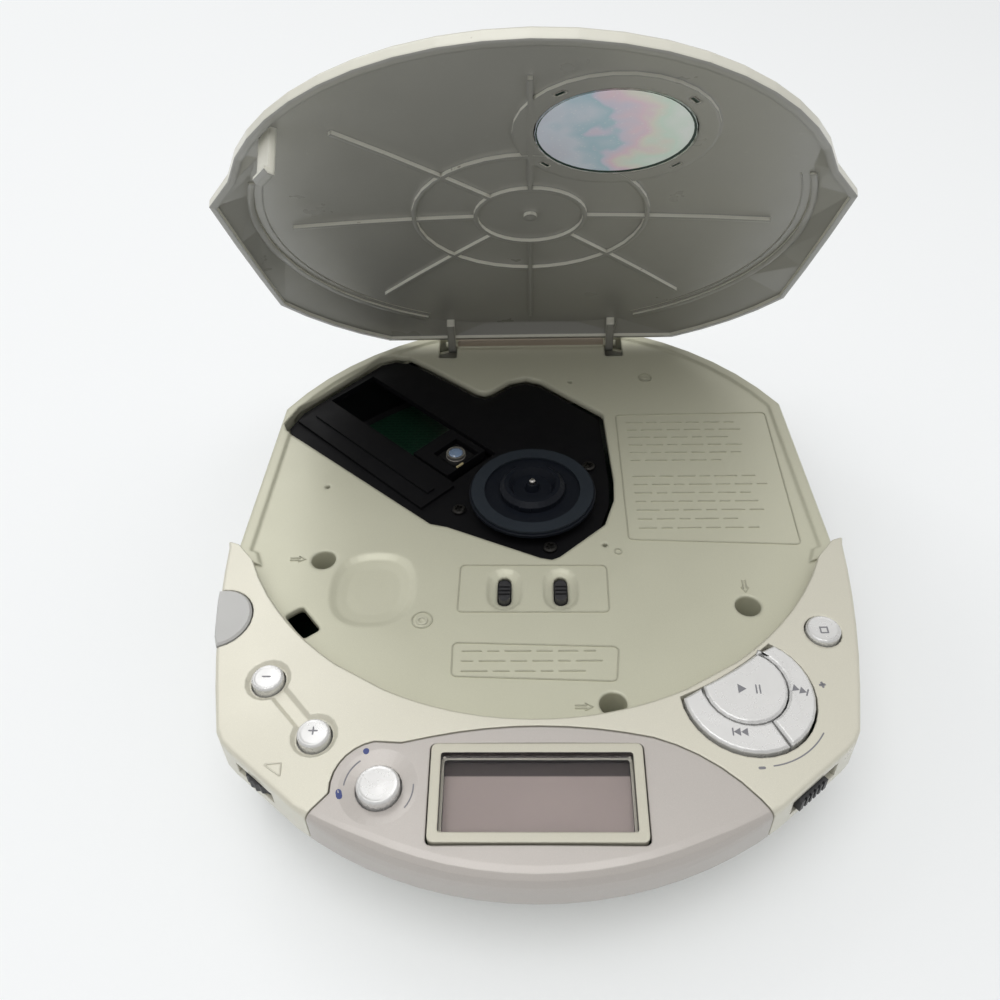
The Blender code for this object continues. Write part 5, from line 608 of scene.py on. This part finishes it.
def foil():
    """Mirror foil with painted reflections: pastel diffraction bands painted by place, in place of the light
    that its fine grooves break up.
    """
    low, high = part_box("lid_foil_disc")
    finish = Finish("diffraction_foil", (0.70, 0.78, 0.82), 0.30, 0.12)
    pastel = finish.node("ShaderNodeValToRGB")
    while len(pastel.color_ramp.elements) < len(FOIL_PAINTED_REFLECTION):
        pastel.color_ramp.elements.new(0.5)
    for element, (place, colour) in zip(pastel.color_ramp.elements, FOIL_PAINTED_REFLECTION):
        element.position = place
        element.color = (*colour, 1.0)
    # The pastel bands are painted reflection, laid across the foil by place
    across = finish.spread(finish.axis("X"), 0.0, 1.0, low.x, high.x)
    drift = finish.spread(finish.noise(0.009, 2.0), -0.16, 0.16, 0.3, 0.7)
    finish.join(finish.calculated("ADD", across, drift), pastel.inputs["Fac"])
    finish.paint = pastel.outputs["Color"]
    finish.worn(0.0030, (1.0, 1.0, 1.0), 0.5)
    finish.flecked(0.0011, (1.0, 1.0, 1.0), 0.25)
    finish.grained(size=0.0060, depth=0.00010)
    finish.grained(size=0.00010, depth=0.000003)
    return finish


def case_plastic():
    """Moulded lower case, with its inner rear corner coated black beside the pickup."""
    tone = colours()
    finish = moulded("case_plastic", tone.case, 0.44)
    inward = finish.spread(finish.facing(SHIELD_FACING), 0.0, 1.0, 0.20, 0.30)
    across = finish.spread(finish.axis("X"), 1.0, 0.0, SHIELD_X, SHIELD_X + SHIELD_EDGE)
    along = finish.spread(finish.axis("Y"), 0.0, 1.0, SHIELD_Y, SHIELD_Y + SHIELD_EDGE)
    return finish.tinted(finish.both(inward, across, along), tone.black)


def badge_plating():
    """Plated badge on the dome, with dark clips that show inside the lid."""
    tone = colours()
    finish = plated("badge_plating", tone.fascia, 0.24)
    inside = finish.spread(finish.facing(lid_outward()), 1.0, 0.0, -0.30, -0.20)
    return finish.tinted(inside, tone.clips)


def bezel():
    """Champagne frame whose inner walls are dark."""
    tone = colours()
    finish = flaked("bezel_champagne", tone.bezel, 0.34, 0.20, 0.20)
    low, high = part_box("display_module")
    shade = finish.spread(finish.axis("Z", "Normal"), 1.0, 0.0, 0.50, 0.60)
    for name, start, end in (("X", low.x, high.x), ("Y", low.y, high.y)):
        half = (end - start) / 2
        away = finish.calculated("SUBTRACT", finish.axis(name), start + half)
        away = finish.calculated("ABSOLUTE", away)
        shade = finish.both(shade, finish.spread(away, 1.0, 0.0, half, half + FINE_EDGE))
    return finish.tinted(shade, tone.display_shade)


def crystal_ground():
    """Liquid crystal ground behind its glass: mauve grey with a dark band along its rear edge."""
    tone = colours()
    finish = Finish("liquid_crystal", tone.glass_dark, 0.42, specular_ior_level=0.1)
    finish.mottled(size=0.009, share=0.25, tone=0.88)
    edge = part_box("display_module")[1].y - DISPLAY_BAND
    band = finish.spread(finish.axis("Y"), 0.0, 0.85, edge, edge + PAINT_EDGE)
    finish.tinted(band, tone.display_shade)
    finish.grained(size=0.00009, depth=0.000003)
    return finish


def clear_window():
    """Clear lens over the display, with a few stray scratches."""
    finish = Finish("display_lens", (0.93, 0.92, 0.93), 0.04, transmission_weight=1.0, ior=1.22)
    finish.worn(0.0011, (1.0, 1.0, 1.0), 0.4)
    finish.smudged(size=0.006, low=0.03, high=0.09)
    return finish


def optic():
    """Pickup lens: clear blue glass with its coating."""
    finish = Finish(
        "pickup_lens", colours().lens_blue, 0.03, transmission_weight=0.4, ior=1.52, coat_weight=1.0
    )
    finish.mottled(size=0.0012, share=0.4, tone=0.6)
    finish.smudged(size=0.0008, low=0.02, high=0.06)
    return finish


def solder_mask():
    """Green board with tracks under its mask."""
    tone = colours()
    finish = Finish("solder_mask", tone.board, 0.34, coat_weight=0.5, coat_roughness=0.15)
    tracks = finish.node("ShaderNodeTexBrick")
    tracks.inputs["Scale"].default_value = 1.0
    tracks.inputs["Mortar Size"].default_value = 0.05
    finish.join(finish.scaled(0.0045), tracks.inputs["Vector"])
    finish.tinted(finish.spread(tracks.outputs["Fac"], 0.0, 0.7), tone.tracks)
    finish.raised(tracks.outputs["Fac"], 0.00003)
    finish.grained(size=0.00030, depth=0.000006)
    return finish


def cell_sleeve():
    """Plain sleeve on a dry cell: dark body and pale band."""
    tone = colours()
    finish = Finish("cell_sleeve", tone.sleeve, 0.30, 0.2, coat_weight=0.3, coat_roughness=0.1)
    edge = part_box("cell_2")[1].y - CELL_BAND
    band = finish.spread(finish.axis("Y"), 0.0, 1.0, edge, edge + PAINT_EDGE)
    finish.tinted(band, tone.sleeve_band)
    finish.mottled(size=0.008, share=0.15, tone=0.85)
    finish.grained(size=0.0004, depth=0.000006)
    return finish


def ink(name, colour):
    """Pad printed ink, slightly uneven."""
    finish = Finish(name, colour, 0.50)
    finish.mottled(size=0.0009, share=0.30, tone=0.75)
    finish.grained(size=0.00012, depth=0.000004)
    return finish


def dress(finish, *names):
    """Gives CAD nodes this finish in every material slot."""
    for name in names:
        for number in range(len(NODES[name].material_slots)):
            NODES[name].material_slots[number].material = finish.material


# Marks, each a thin body that follows the surface of the node that carries it


def surface_of(node):
    """A tree to find places on a node's surface with."""
    mesh = NODES[node].data
    return BVHTree.FromPolygons([v.co for v in mesh.vertices], [face.vertices for face in mesh.polygons])


def laid(tree, frame, place, lift, from_below):
    """The point that is lift off the surface, over place in the mark's own plane."""
    reach = 0.08
    start = Vector((place[0], place[1], -reach if from_below else reach))
    way = Vector((0.0, 0.0, 1.0 if from_below else -1.0))
    turn = frame.to_3x3()
    found = tree.ray_cast(frame @ start, turn @ way)[0]
    if found is None:
        raise RuntimeError(f"no surface under {place}")
    return found - turn @ way * lift


def mark(name, loops, node, finish, frame=None, proud=None, from_below=False):
    """Thin raised shapes on a node. A loop is a list of places, or a pair of lists for a ring."""
    frame = frame or Matrix.Identity(4)
    proud = marks().print_proud if proud is None else proud
    tree = surface_of(node)
    shape = bmesh.new()
    for loop in loops:
        outlines = loop if isinstance(loop[0][0], (list, tuple)) else (loop,)
        levels = []
        for outline in outlines:
            levels.append([
                [shape.verts.new(laid(tree, frame, place, lift, from_below)) for place in outline]
                for lift in (-marks().sink, proud)
            ])
        for lower, upper in levels:
            for here, (first, second) in enumerate(zip(lower, upper)):
                after = (here + 1) % len(lower)
                shape.faces.new((first, lower[after], upper[after], second))
        if len(levels) == 1:
            shape.faces.new(levels[0][1])
            shape.faces.new(list(reversed(levels[0][0])))
            continue
        for level in (0, 1):
            outer, inner = levels[0][level], levels[1][level]
            for here in range(len(outer)):
                after = (here + 1) % len(outer)
                shape.faces.new((outer[here], outer[after], inner[after], inner[here]))
    bmesh.ops.recalc_face_normals(shape, faces=shape.faces)
    mesh = bpy.data.meshes.new(name)
    shape.to_mesh(mesh)
    shape.free()
    piece = bpy.data.objects.new(name, mesh)
    bpy.context.scene.collection.objects.link(piece)
    mesh.materials.append(finish.material)
    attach(piece, NODES[node].get("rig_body") or body_of(NODES[node]))
    return piece


def turned_to(places, centre, angle=0.0):
    """Places turned by angle and moved to centre."""
    return [
        (centre[0] + x * cos(angle) - y * sin(angle), centre[1] + x * sin(angle) + y * cos(angle))
        for x, y in places
    ]


def disc(radius, steps=24):
    """A filled circle."""
    return [(radius * cos(tau * step / steps), radius * sin(tau * step / steps)) for step in range(steps)]


def ring(radius, width, steps=32):
    """A circular line inside radius, outer and inner edge."""
    return [disc(radius, steps), disc(radius - width, steps)]


def bar(length, width):
    """A rounded bar along X."""
    half = width / 2
    reach = length / 2 - half
    turns = [pi * step / 4 - pi / 2 for step in range(5)]
    right = [(reach + half * cos(turn), half * sin(turn)) for turn in turns]
    return right + [(-x, -y) for x, y in right]


def bow(radius, width, start, end, steps=18):
    """A bar that is bent along a circle, from one angle to another."""
    turns = [start + (end - start) * step / steps for step in range(steps + 1)]
    outer, inner = radius + width / 2, radius - width / 2
    there = [(outer * cos(turn), outer * sin(turn)) for turn in turns]
    return there + [(inner * cos(turn), inner * sin(turn)) for turn in reversed(turns)]


def triangle(height):
    """A play triangle that points along +X."""
    half = height / 2
    return [(-half * 0.8, -half), (half * 0.8, 0.0), (-half * 0.8, half)]


def skip(height, stroke):
    """A skip symbol that points along +X: two triangles and a bar."""
    shifts = (-height * 0.45, height * 0.40)
    shapes = [[(x + shift, y) for x, y in triangle(height)] for shift in shifts]
    return shapes + [[(height * 0.88 - y, x) for x, y in bar(height, stroke)]]


def arrow():
    """An arrow that points along +X: its head and the two lines of its shaft."""
    size = marks()
    half = size.arrow / 2
    head = ((0.1, 0.45), (0.25, 0.45), (1.0, 0.0), (0.25, -0.45), (0.1, -0.45), (0.75, 0.0))
    shaft = bar(size.arrow * 0.6, size.ridge)
    shapes = [[(half * x, half * y) for x, y in head]]
    for side in (1, -1):
        shapes.append([(x - half * 0.25, y + side * half * 0.17) for x, y in shaft])
    return shapes


def dashes(start, pitch, count, width, gap):
    """Rows of plain dashes, with one row left free after the first few."""
    size = marks()
    shapes = []
    for row in range(count):
        x, y = start[0], start[1] - pitch * (row + (row >= gap))
        end = start[0] + width * size.row_shares[row % 3]
        word = row
        while x + size.word_shares[word % 4] * size.word < end:
            length = size.word_shares[word % 4] * size.word
            shapes.append(turned_to(bar(length, size.ridge), (x + length / 2, y)))
            x += length + size.word * 0.25
            word += 1
    return shapes


def rounded_frame(corners, radius, width, steps=6):
    """A ring of constant width along a quadrilateral with rounded corners, outline and inner edge."""
    edges = []
    for shrink in (0.0, width):
        outline = []
        count = len(corners)
        for here in range(count):
            corner = Vector(corners[here])
            to_last = (Vector(corners[here - 1]) - corner).normalized()
            to_next = (Vector(corners[(here + 1) % count]) - corner).normalized()
            middle_way = (to_last + to_next).normalized()
            reach = radius / max(0.2, abs(middle_way.cross(to_next)))
            centre = corner + middle_way * reach
            start = (-Vector((-to_last.y, to_last.x)))
            finish_way = Vector((-to_next.y, to_next.x))
            for step in range(steps + 1):
                way = (start.lerp(finish_way, step / steps)).normalized()
                if way.dot(middle_way) > 0:
                    way = -way
                outline.append(tuple(centre + way * (radius - shrink)))
        edges.append(outline)
    return edges


# Operators, one for each group of pieces


class DressHousing(bpy.types.Operator):
    """Finishes the lower case, the battery door and what shows when it is open."""

    bl_idname = "player.dress_housing"
    bl_label = "Housing"

    def execute(self, context):
        tone = colours()
        dress(case_plastic(), "bottom_case", "battery_door")
        dress(cell_sleeve(), "cell_1", "cell_2")
        dress(machined("contact_nickel", tone.steel, 0.30),
              "contact_spring_1", "contact_spring_2", "contact_plate_1", "contact_plate_2")
        dress(moulded("jack_plastic", tone.black, 0.40), "phones_jack", "dc_jack")
        dress(solder_mask(), "main_board", "key_board")
        return {"FINISHED"}


class DressDeck(bpy.types.Operator):
    """Finishes the deck with its switches, screws and moulded marks."""

    bl_idname = "player.dress_deck"
    bl_label = "Deck"

    def execute(self, context):
        tone, size = colours(), marks()
        deck = deck_pearl()
        dress(deck, "deck")
        dress(moulded("slider_plastic", tone.charcoal, 0.42), "resume_switch", "limiter_switch")
        dress(machined("screw_steel", tone.screws, 0.40), "case_screw_left", "case_screw_right",
              "case_screw_front", "chassis_screw_left", "chassis_screw_front", "chassis_screw_rear")
        reliefs = {}
        for name, corners in LABEL_CORNERS.items():
            reliefs[name] = [rounded_frame(corners, LABEL_CORNER_RADIUS, size.ridge)]
        for name, rows in DASH_ROWS.items():
            reliefs[name] = dashes(*rows)
        for name, (centre, angle) in ARROWS.items():
            reliefs[name] = [turned_to(shape, centre, angle) for shape in arrow()]
        for name, (centre, radius) in MOULD_RINGS.items():
            reliefs[name] = [[turned_to(edge, centre) for edge in ring(radius, size.ridge)]]
        for name, loops in reliefs.items():
            mark(name, loops, "deck", deck, proud=size.ridge_proud)
        return {"FINISHED"}


class DressFront(bpy.types.Operator):
    """Finishes the front panel, the fascia, the display and the sliders at the edge."""

    bl_idname = "player.dress_front"
    bl_label = "Front panel and display"

    def execute(self, context):
        tone, size = colours(), marks()
        cream = flaked("front_cream", tone.front, 0.32, 0.20, 0.25)
        dress(cream, "front_panel")
        dress(flaked("fascia_silver", tone.fascia, 0.38, 0.18, 0.30), "fascia")
        dress(bezel(), "display_frame")
        dress(clear_window(), "display_window")
        dress(crystal_ground(), "display_module")
        dress(moulded("release_plastic", tone.release, 0.36), "open_button")
        dress(moulded("latch_plastic", tone.black, 0.40), "latch")
        dress(moulded("edge_slider_plastic", tone.charcoal, 0.46), "hold_slider", "volume_wheel")
        dress(machined("control_can", tone.steel, 0.35), "volume_control")
        dots = ink("dot_ink", tone.dots)
        mark("band_dot", [turned_to(disc(size.dot), BAND_DOT)], "fascia", dots)
        dash = bar(size.dot * 3.4, size.dot * 1.9)
        mark("memory_dot", [turned_to(dash, MEMORY_DOT, radians(105.0))], "fascia", dots)
        grey = ink("panel_ink", tone.ink)
        bows = [turned_to(bow(size.band_bow, size.line, radians(start), radians(end)), middle("band_button"))
                for start, end in ((126.0, 176.0), (-38.0, 4.0))]
        mark("band_bows", bows, "fascia", grey)
        dash = bar(size.symbol * 0.7, size.line * 2.0)
        along_key = bow(size.key_bow, size.line, radians(-80.0), radians(-33.0))
        leader = [turned_to(along_key, middle("play_button"))]
        for place, angle in ((SEARCH_MINUS, 4.0), (SEARCH_PLUS, 10.0), (SEARCH_PLUS, 100.0)):
            leader.append(turned_to(dash, place, radians(angle)))
        mark("search_leader", leader, "front_panel", grey)
        wedge = rounded_frame(VOLUME_WEDGE, size.line, size.line)
        mark("volume_wedge", [wedge], "front_panel", cream, proud=size.ridge_proud)
        return {"FINISHED"}


class DressKeys(bpy.types.Operator):
    """Finishes the keys and prints their plain symbols."""

    bl_idname = "player.dress_keys"
    bl_label = "Keys"

    def execute(self, context):
        tone, size = colours(), marks()
        dress(plated("key_plating", tone.keys, 0.26), "minus_button", "plus_button", "band_button",
              "stop_button", "play_button", "previous_button", "next_button")
        grey = ink("key_ink", tone.ink)
        height = size.symbol
        stroke = height * 0.14
        play = [turned_to([(x - height * 0.5, y) for x, y in triangle(height)], PLAY_TRIANGLE)]
        for shift in (0.0, height * 0.35):
            play.append(turned_to(bar(height, stroke), (PAUSE_BARS[0] + shift, PAUSE_BARS[1]), pi / 2))
        mark("play_symbol", play, "play_button", grey)
        for name, (node, centre, angle) in SKIPS.items():
            loops = [turned_to(shape, centre, angle) for shape in skip(height * 0.8, stroke)]
            mark(name, loops, node, grey)
        stop = []
        for half in (height * 0.42, height * 0.42 - stroke):
            square = [(-half, -half), (half, -half), (half, half), (-half, half)]
            stop.append(turned_to(square, STOP_SQUARE))
        mark("stop_symbol", [stop], "stop_button", grey)
        dash = bar(height * 0.9, stroke)
        mark("minus_symbol", [turned_to(dash, MINUS_BAR)], "minus_button", grey)
        plus = [turned_to(dash, PLUS_CROSS, angle) for angle in (0.0, pi / 2)]
        mark("plus_symbol", plus, "plus_button", grey)
        return {"FINISHED"}


class DressLid(bpy.types.Operator):
    """Finishes the lid, its badge and the foil disc with its clips."""

    bl_idname = "player.dress_lid"
    bl_label = "Lid"

    def execute(self, context):
        tone, size = colours(), marks()
        shell = lid_plastic()
        dress(shell, "lid")
        for name, radius, width, height in (("lid_step", size.step, size.step_width, size.step_proud),
                                            ("lid_bead", size.bead, size.ridge, size.ridge_proud)):
            sides = [bow(radius, width, radians(start), radians(end), steps=48)
                     for start, end in ((118.0, 200.0), (-20.0, 62.0))]
            mark(name, sides, "lid", shell, frame=lid_frame(), proud=height, from_below=True)
        dress(badge_plating(), "lid_badge")
        dress(foil(), "lid_foil_disc")
        low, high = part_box("lid_foil_disc")
        frame = lid_frame()
        centre = frame.inverted() @ ((low + high) / 2)
        edge = (high.x - low.x) / 2 - size.line / 2
        gap = ink("foil_gap", tone.clips)
        inner = turned_to(disc(edge - size.crescent / 2, 48), (-size.crescent * 0.15, -size.crescent * 0.42))
        crescent = [turned_to(loop, centre) for loop in (disc(edge, 48), inner)]
        mark("foil_crescent", [crescent], "lid_foil_disc", gap, frame=frame, from_below=True)
        return {"FINISHED"}


class DressMechanism(bpy.types.Operator):
    """Finishes the disc mechanism: chassis, turntable, pickup and drive."""

    bl_idname = "player.dress_mechanism"
    bl_label = "Disc mechanism"

    def execute(self, context):
        tone, size = colours(), marks()
        dress(dull_black("chassis_plastic", tone.black), "mechanism_chassis", "pickup_sled")
        dress(dull_black("turntable_plastic", tone.slate, 0.36, 0.00016), "turntable")
        dress(dull_black("pad_rubber", tone.pad, 0.60, 0.00014), "turntable_pad")
        dress(dull_black("damper_rubber", tone.rubber, 0.75), "damper_left", "damper_front", "damper_rear")
        dress(machined("drawn_steel", tone.steel, 0.22), "spindle_shaft", "guide_rod_left",
              "guide_rod_right", "feed_screw")
        dress(machined("motor_can", tone.steel, 0.34), "spindle_motor", "feed_motor")
        dress(pickup_holder(), "lens_holder")
        dress(optic(), "objective_lens")
        trimmer = ink("trimmer_amber", tone.amber)
        outline = turned_to(bar(size.trimmer, size.trimmer_width), PICKUP_TRIMMER, TRIMMER_ANGLE)
        mark("pickup_trimmer", [outline], "pickup_sled", trimmer, proud=size.trimmer_proud)
        return {"FINISHED"}


class SetStudio(bpy.types.Operator):
    """Sets the pale floor, the soft light and the camera."""

    bl_idname = "player.set_studio"
    bl_label = "Studio"

    def execute(self, context):
        self.floor()
        self.sky()
        self.lamp("overhead_lamp", *OVERHEAD_BOX, studio().overhead)
        self.lamp("rear_lamp", *REAR_BOX, studio().rear)
        self.camera()
        context.scene.view_settings.view_transform = "Standard"
        return {"FINISHED"}

    def floor(self):
        """A wide floor that stays white to the eye and keeps the player's shadow."""
        half = studio().floor_half
        mesh = bpy.data.meshes.new("floor")
        level = CAD_BOX[0][2] - studio().seat
        corners = [(-half, -half, level), (half, -half, level), (half, half, level), (-half, half, level)]
        mesh.from_pydata(corners, [], [(0, 1, 2, 3)])
        floor = bpy.data.objects.new("floor", mesh)
        bpy.context.scene.collection.objects.link(floor)
        finish = Finish("floor_paper", colours().floor, 0.9)
        finish.mottled(size=0.25, share=0.05, tone=0.96)
        finish.grained(size=0.0012, depth=0.00002)
        glow = finish.node("ShaderNodeEmission")
        glow.inputs["Color"].default_value = (*colours().background, 1.0)
        seen = finish.node("ShaderNodeLightPath")
        away = finish.node("ShaderNodeVectorMath", operation="LENGTH")
        finish.join(finish.place.outputs["Object"], away.inputs[0])
        fade = finish.spread(away.outputs["Value"], 0.20, 1.0, studio().clear, studio().clear * 3.0)
        share = finish.calculated("MULTIPLY", seen.outputs["Is Camera Ray"], fade)
        mix = finish.node("ShaderNodeMixShader")
        finish.join(share, mix.inputs[0])
        finish.join(finish.shader.outputs["BSDF"], mix.inputs[1])
        finish.join(glow.outputs["Emission"], mix.inputs[2])
        side = finish.node("ShaderNodeNewGeometry")
        open_below = finish.node("ShaderNodeMixShader")
        finish.join(side.outputs["Backfacing"], open_below.inputs[0])
        finish.join(mix.outputs["Shader"], open_below.inputs[1])
        finish.join(finish.node("ShaderNodeBsdfTransparent").outputs["BSDF"], open_below.inputs[2])
        output = finish.tree.nodes["Material Output"]
        finish.join(open_below.outputs["Shader"], output.inputs["Surface"])
        mesh.materials.append(finish.material)

    def sky(self):
        """Soft light from all round, and a white background where the eye meets it."""
        world = bpy.context.scene.world or bpy.data.worlds.new("studio")
        bpy.context.scene.world = world
        world.use_nodes = True
        tree = world.node_tree
        tree.nodes.clear()
        soft = tree.nodes.new("ShaderNodeBackground")
        soft.inputs["Color"].default_value = (*colours().sky, 1.0)
        way = tree.nodes.new("ShaderNodeTexCoord")
        height = tree.nodes.new("ShaderNodeSeparateXYZ")
        fade = tree.nodes.new("ShaderNodeMapRange")
        fade.inputs["To Min"].default_value = studio().sky * studio().horizon
        fade.inputs["To Max"].default_value = studio().sky
        behind = tree.nodes.new("ShaderNodeMapRange")
        behind.inputs["From Min"].default_value = -0.8
        behind.inputs["From Max"].default_value = 0.2
        behind.inputs["To Min"].default_value = studio().near
        strength = tree.nodes.new("ShaderNodeMath")
        strength.operation = "MULTIPLY"
        tree.links.new(way.outputs["Generated"], height.inputs["Vector"])
        tree.links.new(height.outputs["Z"], fade.inputs["Value"])
        tree.links.new(height.outputs["Y"], behind.inputs["Value"])
        tree.links.new(fade.outputs["Result"], strength.inputs[0])
        tree.links.new(behind.outputs["Result"], strength.inputs[1])
        tree.links.new(strength.outputs["Value"], soft.inputs["Strength"])
        white = tree.nodes.new("ShaderNodeBackground")
        white.inputs["Color"].default_value = (*colours().background, 1.0)
        path = tree.nodes.new("ShaderNodeLightPath")
        mix = tree.nodes.new("ShaderNodeMixShader")
        output = tree.nodes.new("ShaderNodeOutputWorld")
        tree.links.new(path.outputs["Is Camera Ray"], mix.inputs[0])
        tree.links.new(soft.outputs["Background"], mix.inputs[1])
        tree.links.new(white.outputs["Background"], mix.inputs[2])
        tree.links.new(mix.outputs["Shader"], output.inputs["Surface"])

    def lamp(self, name, place, width, power):
        """A square soft box that faces the player."""
        data = bpy.data.lights.new(name, "AREA")
        data.size = width
        data.energy = power
        lamp = bpy.data.objects.new(name, data)
        lamp.location = place
        way = Vector((0.0, 0.0, 0.03)) - Vector(place)
        lamp.rotation_euler = way.to_track_quat("-Z", "Y").to_euler()
        bpy.context.scene.collection.objects.link(lamp)

    def camera(self):
        """The photograph's viewpoint."""
        view = studio()
        data = bpy.data.cameras.new("camera")
        data.lens = view.lens
        data.sensor_width = 36.0
        data.clip_start = 0.01
        camera = bpy.data.objects.new("camera", data)
        turn = Matrix.Rotation(view.yaw, 4, "Z") @ Matrix.Rotation(pi / 2 - view.pitch, 4, "X")
        turn = turn @ Matrix.Rotation(view.roll, 4, "Z")
        camera.matrix_world = Matrix.Translation(view.eye) @ turn
        bpy.context.scene.collection.objects.link(camera)
        bpy.context.scene.camera = camera


class PlayerPanel(bpy.types.Panel):
    """The sidebar's list of pieces."""

    bl_idname = "VIEW3D_PT_disc_player"
    bl_label = "Disc Player"
    bl_space_type = "VIEW_3D"
    bl_region_type = "UI"
    bl_category = "Disc Player"

    def draw(self, context):
        for step in STEPS:
            self.layout.operator(step.bl_idname)
        for group in (colours(), marks(), studio()):
            for name in group.__annotations__:
                self.layout.prop(group, name)


STEPS = (DressHousing, DressDeck, DressFront, DressKeys, DressLid, DressMechanism, SetStudio)


def register():
    """Adds the settings, the operators and the panel."""
    for group in (*PROPERTY_GROUPS, *STEPS, PlayerPanel):
        bpy.utils.register_class(group)
    bpy.types.Scene.player_colours = bpy.props.PointerProperty(type=PlayerColours)
    bpy.types.Scene.player_marks = bpy.props.PointerProperty(type=PlayerMarks)
    bpy.types.Scene.player_studio = bpy.props.PointerProperty(type=PlayerStudio)


def unregister():
    """Takes the settings, the operators and the panel out again."""
    for name in ("player_colours", "player_marks", "player_studio"):
        delattr(bpy.types.Scene, name)
    for group in reversed((*PROPERTY_GROUPS, *STEPS, PlayerPanel)):
        bpy.utils.unregister_class(group)


def main():
    """Runs every operator."""
    register()
    for step in STEPS:
        group, name = step.bl_idname.split(".")
        getattr(getattr(bpy.ops, group), name)()


if __name__ == "__main__":
    main()
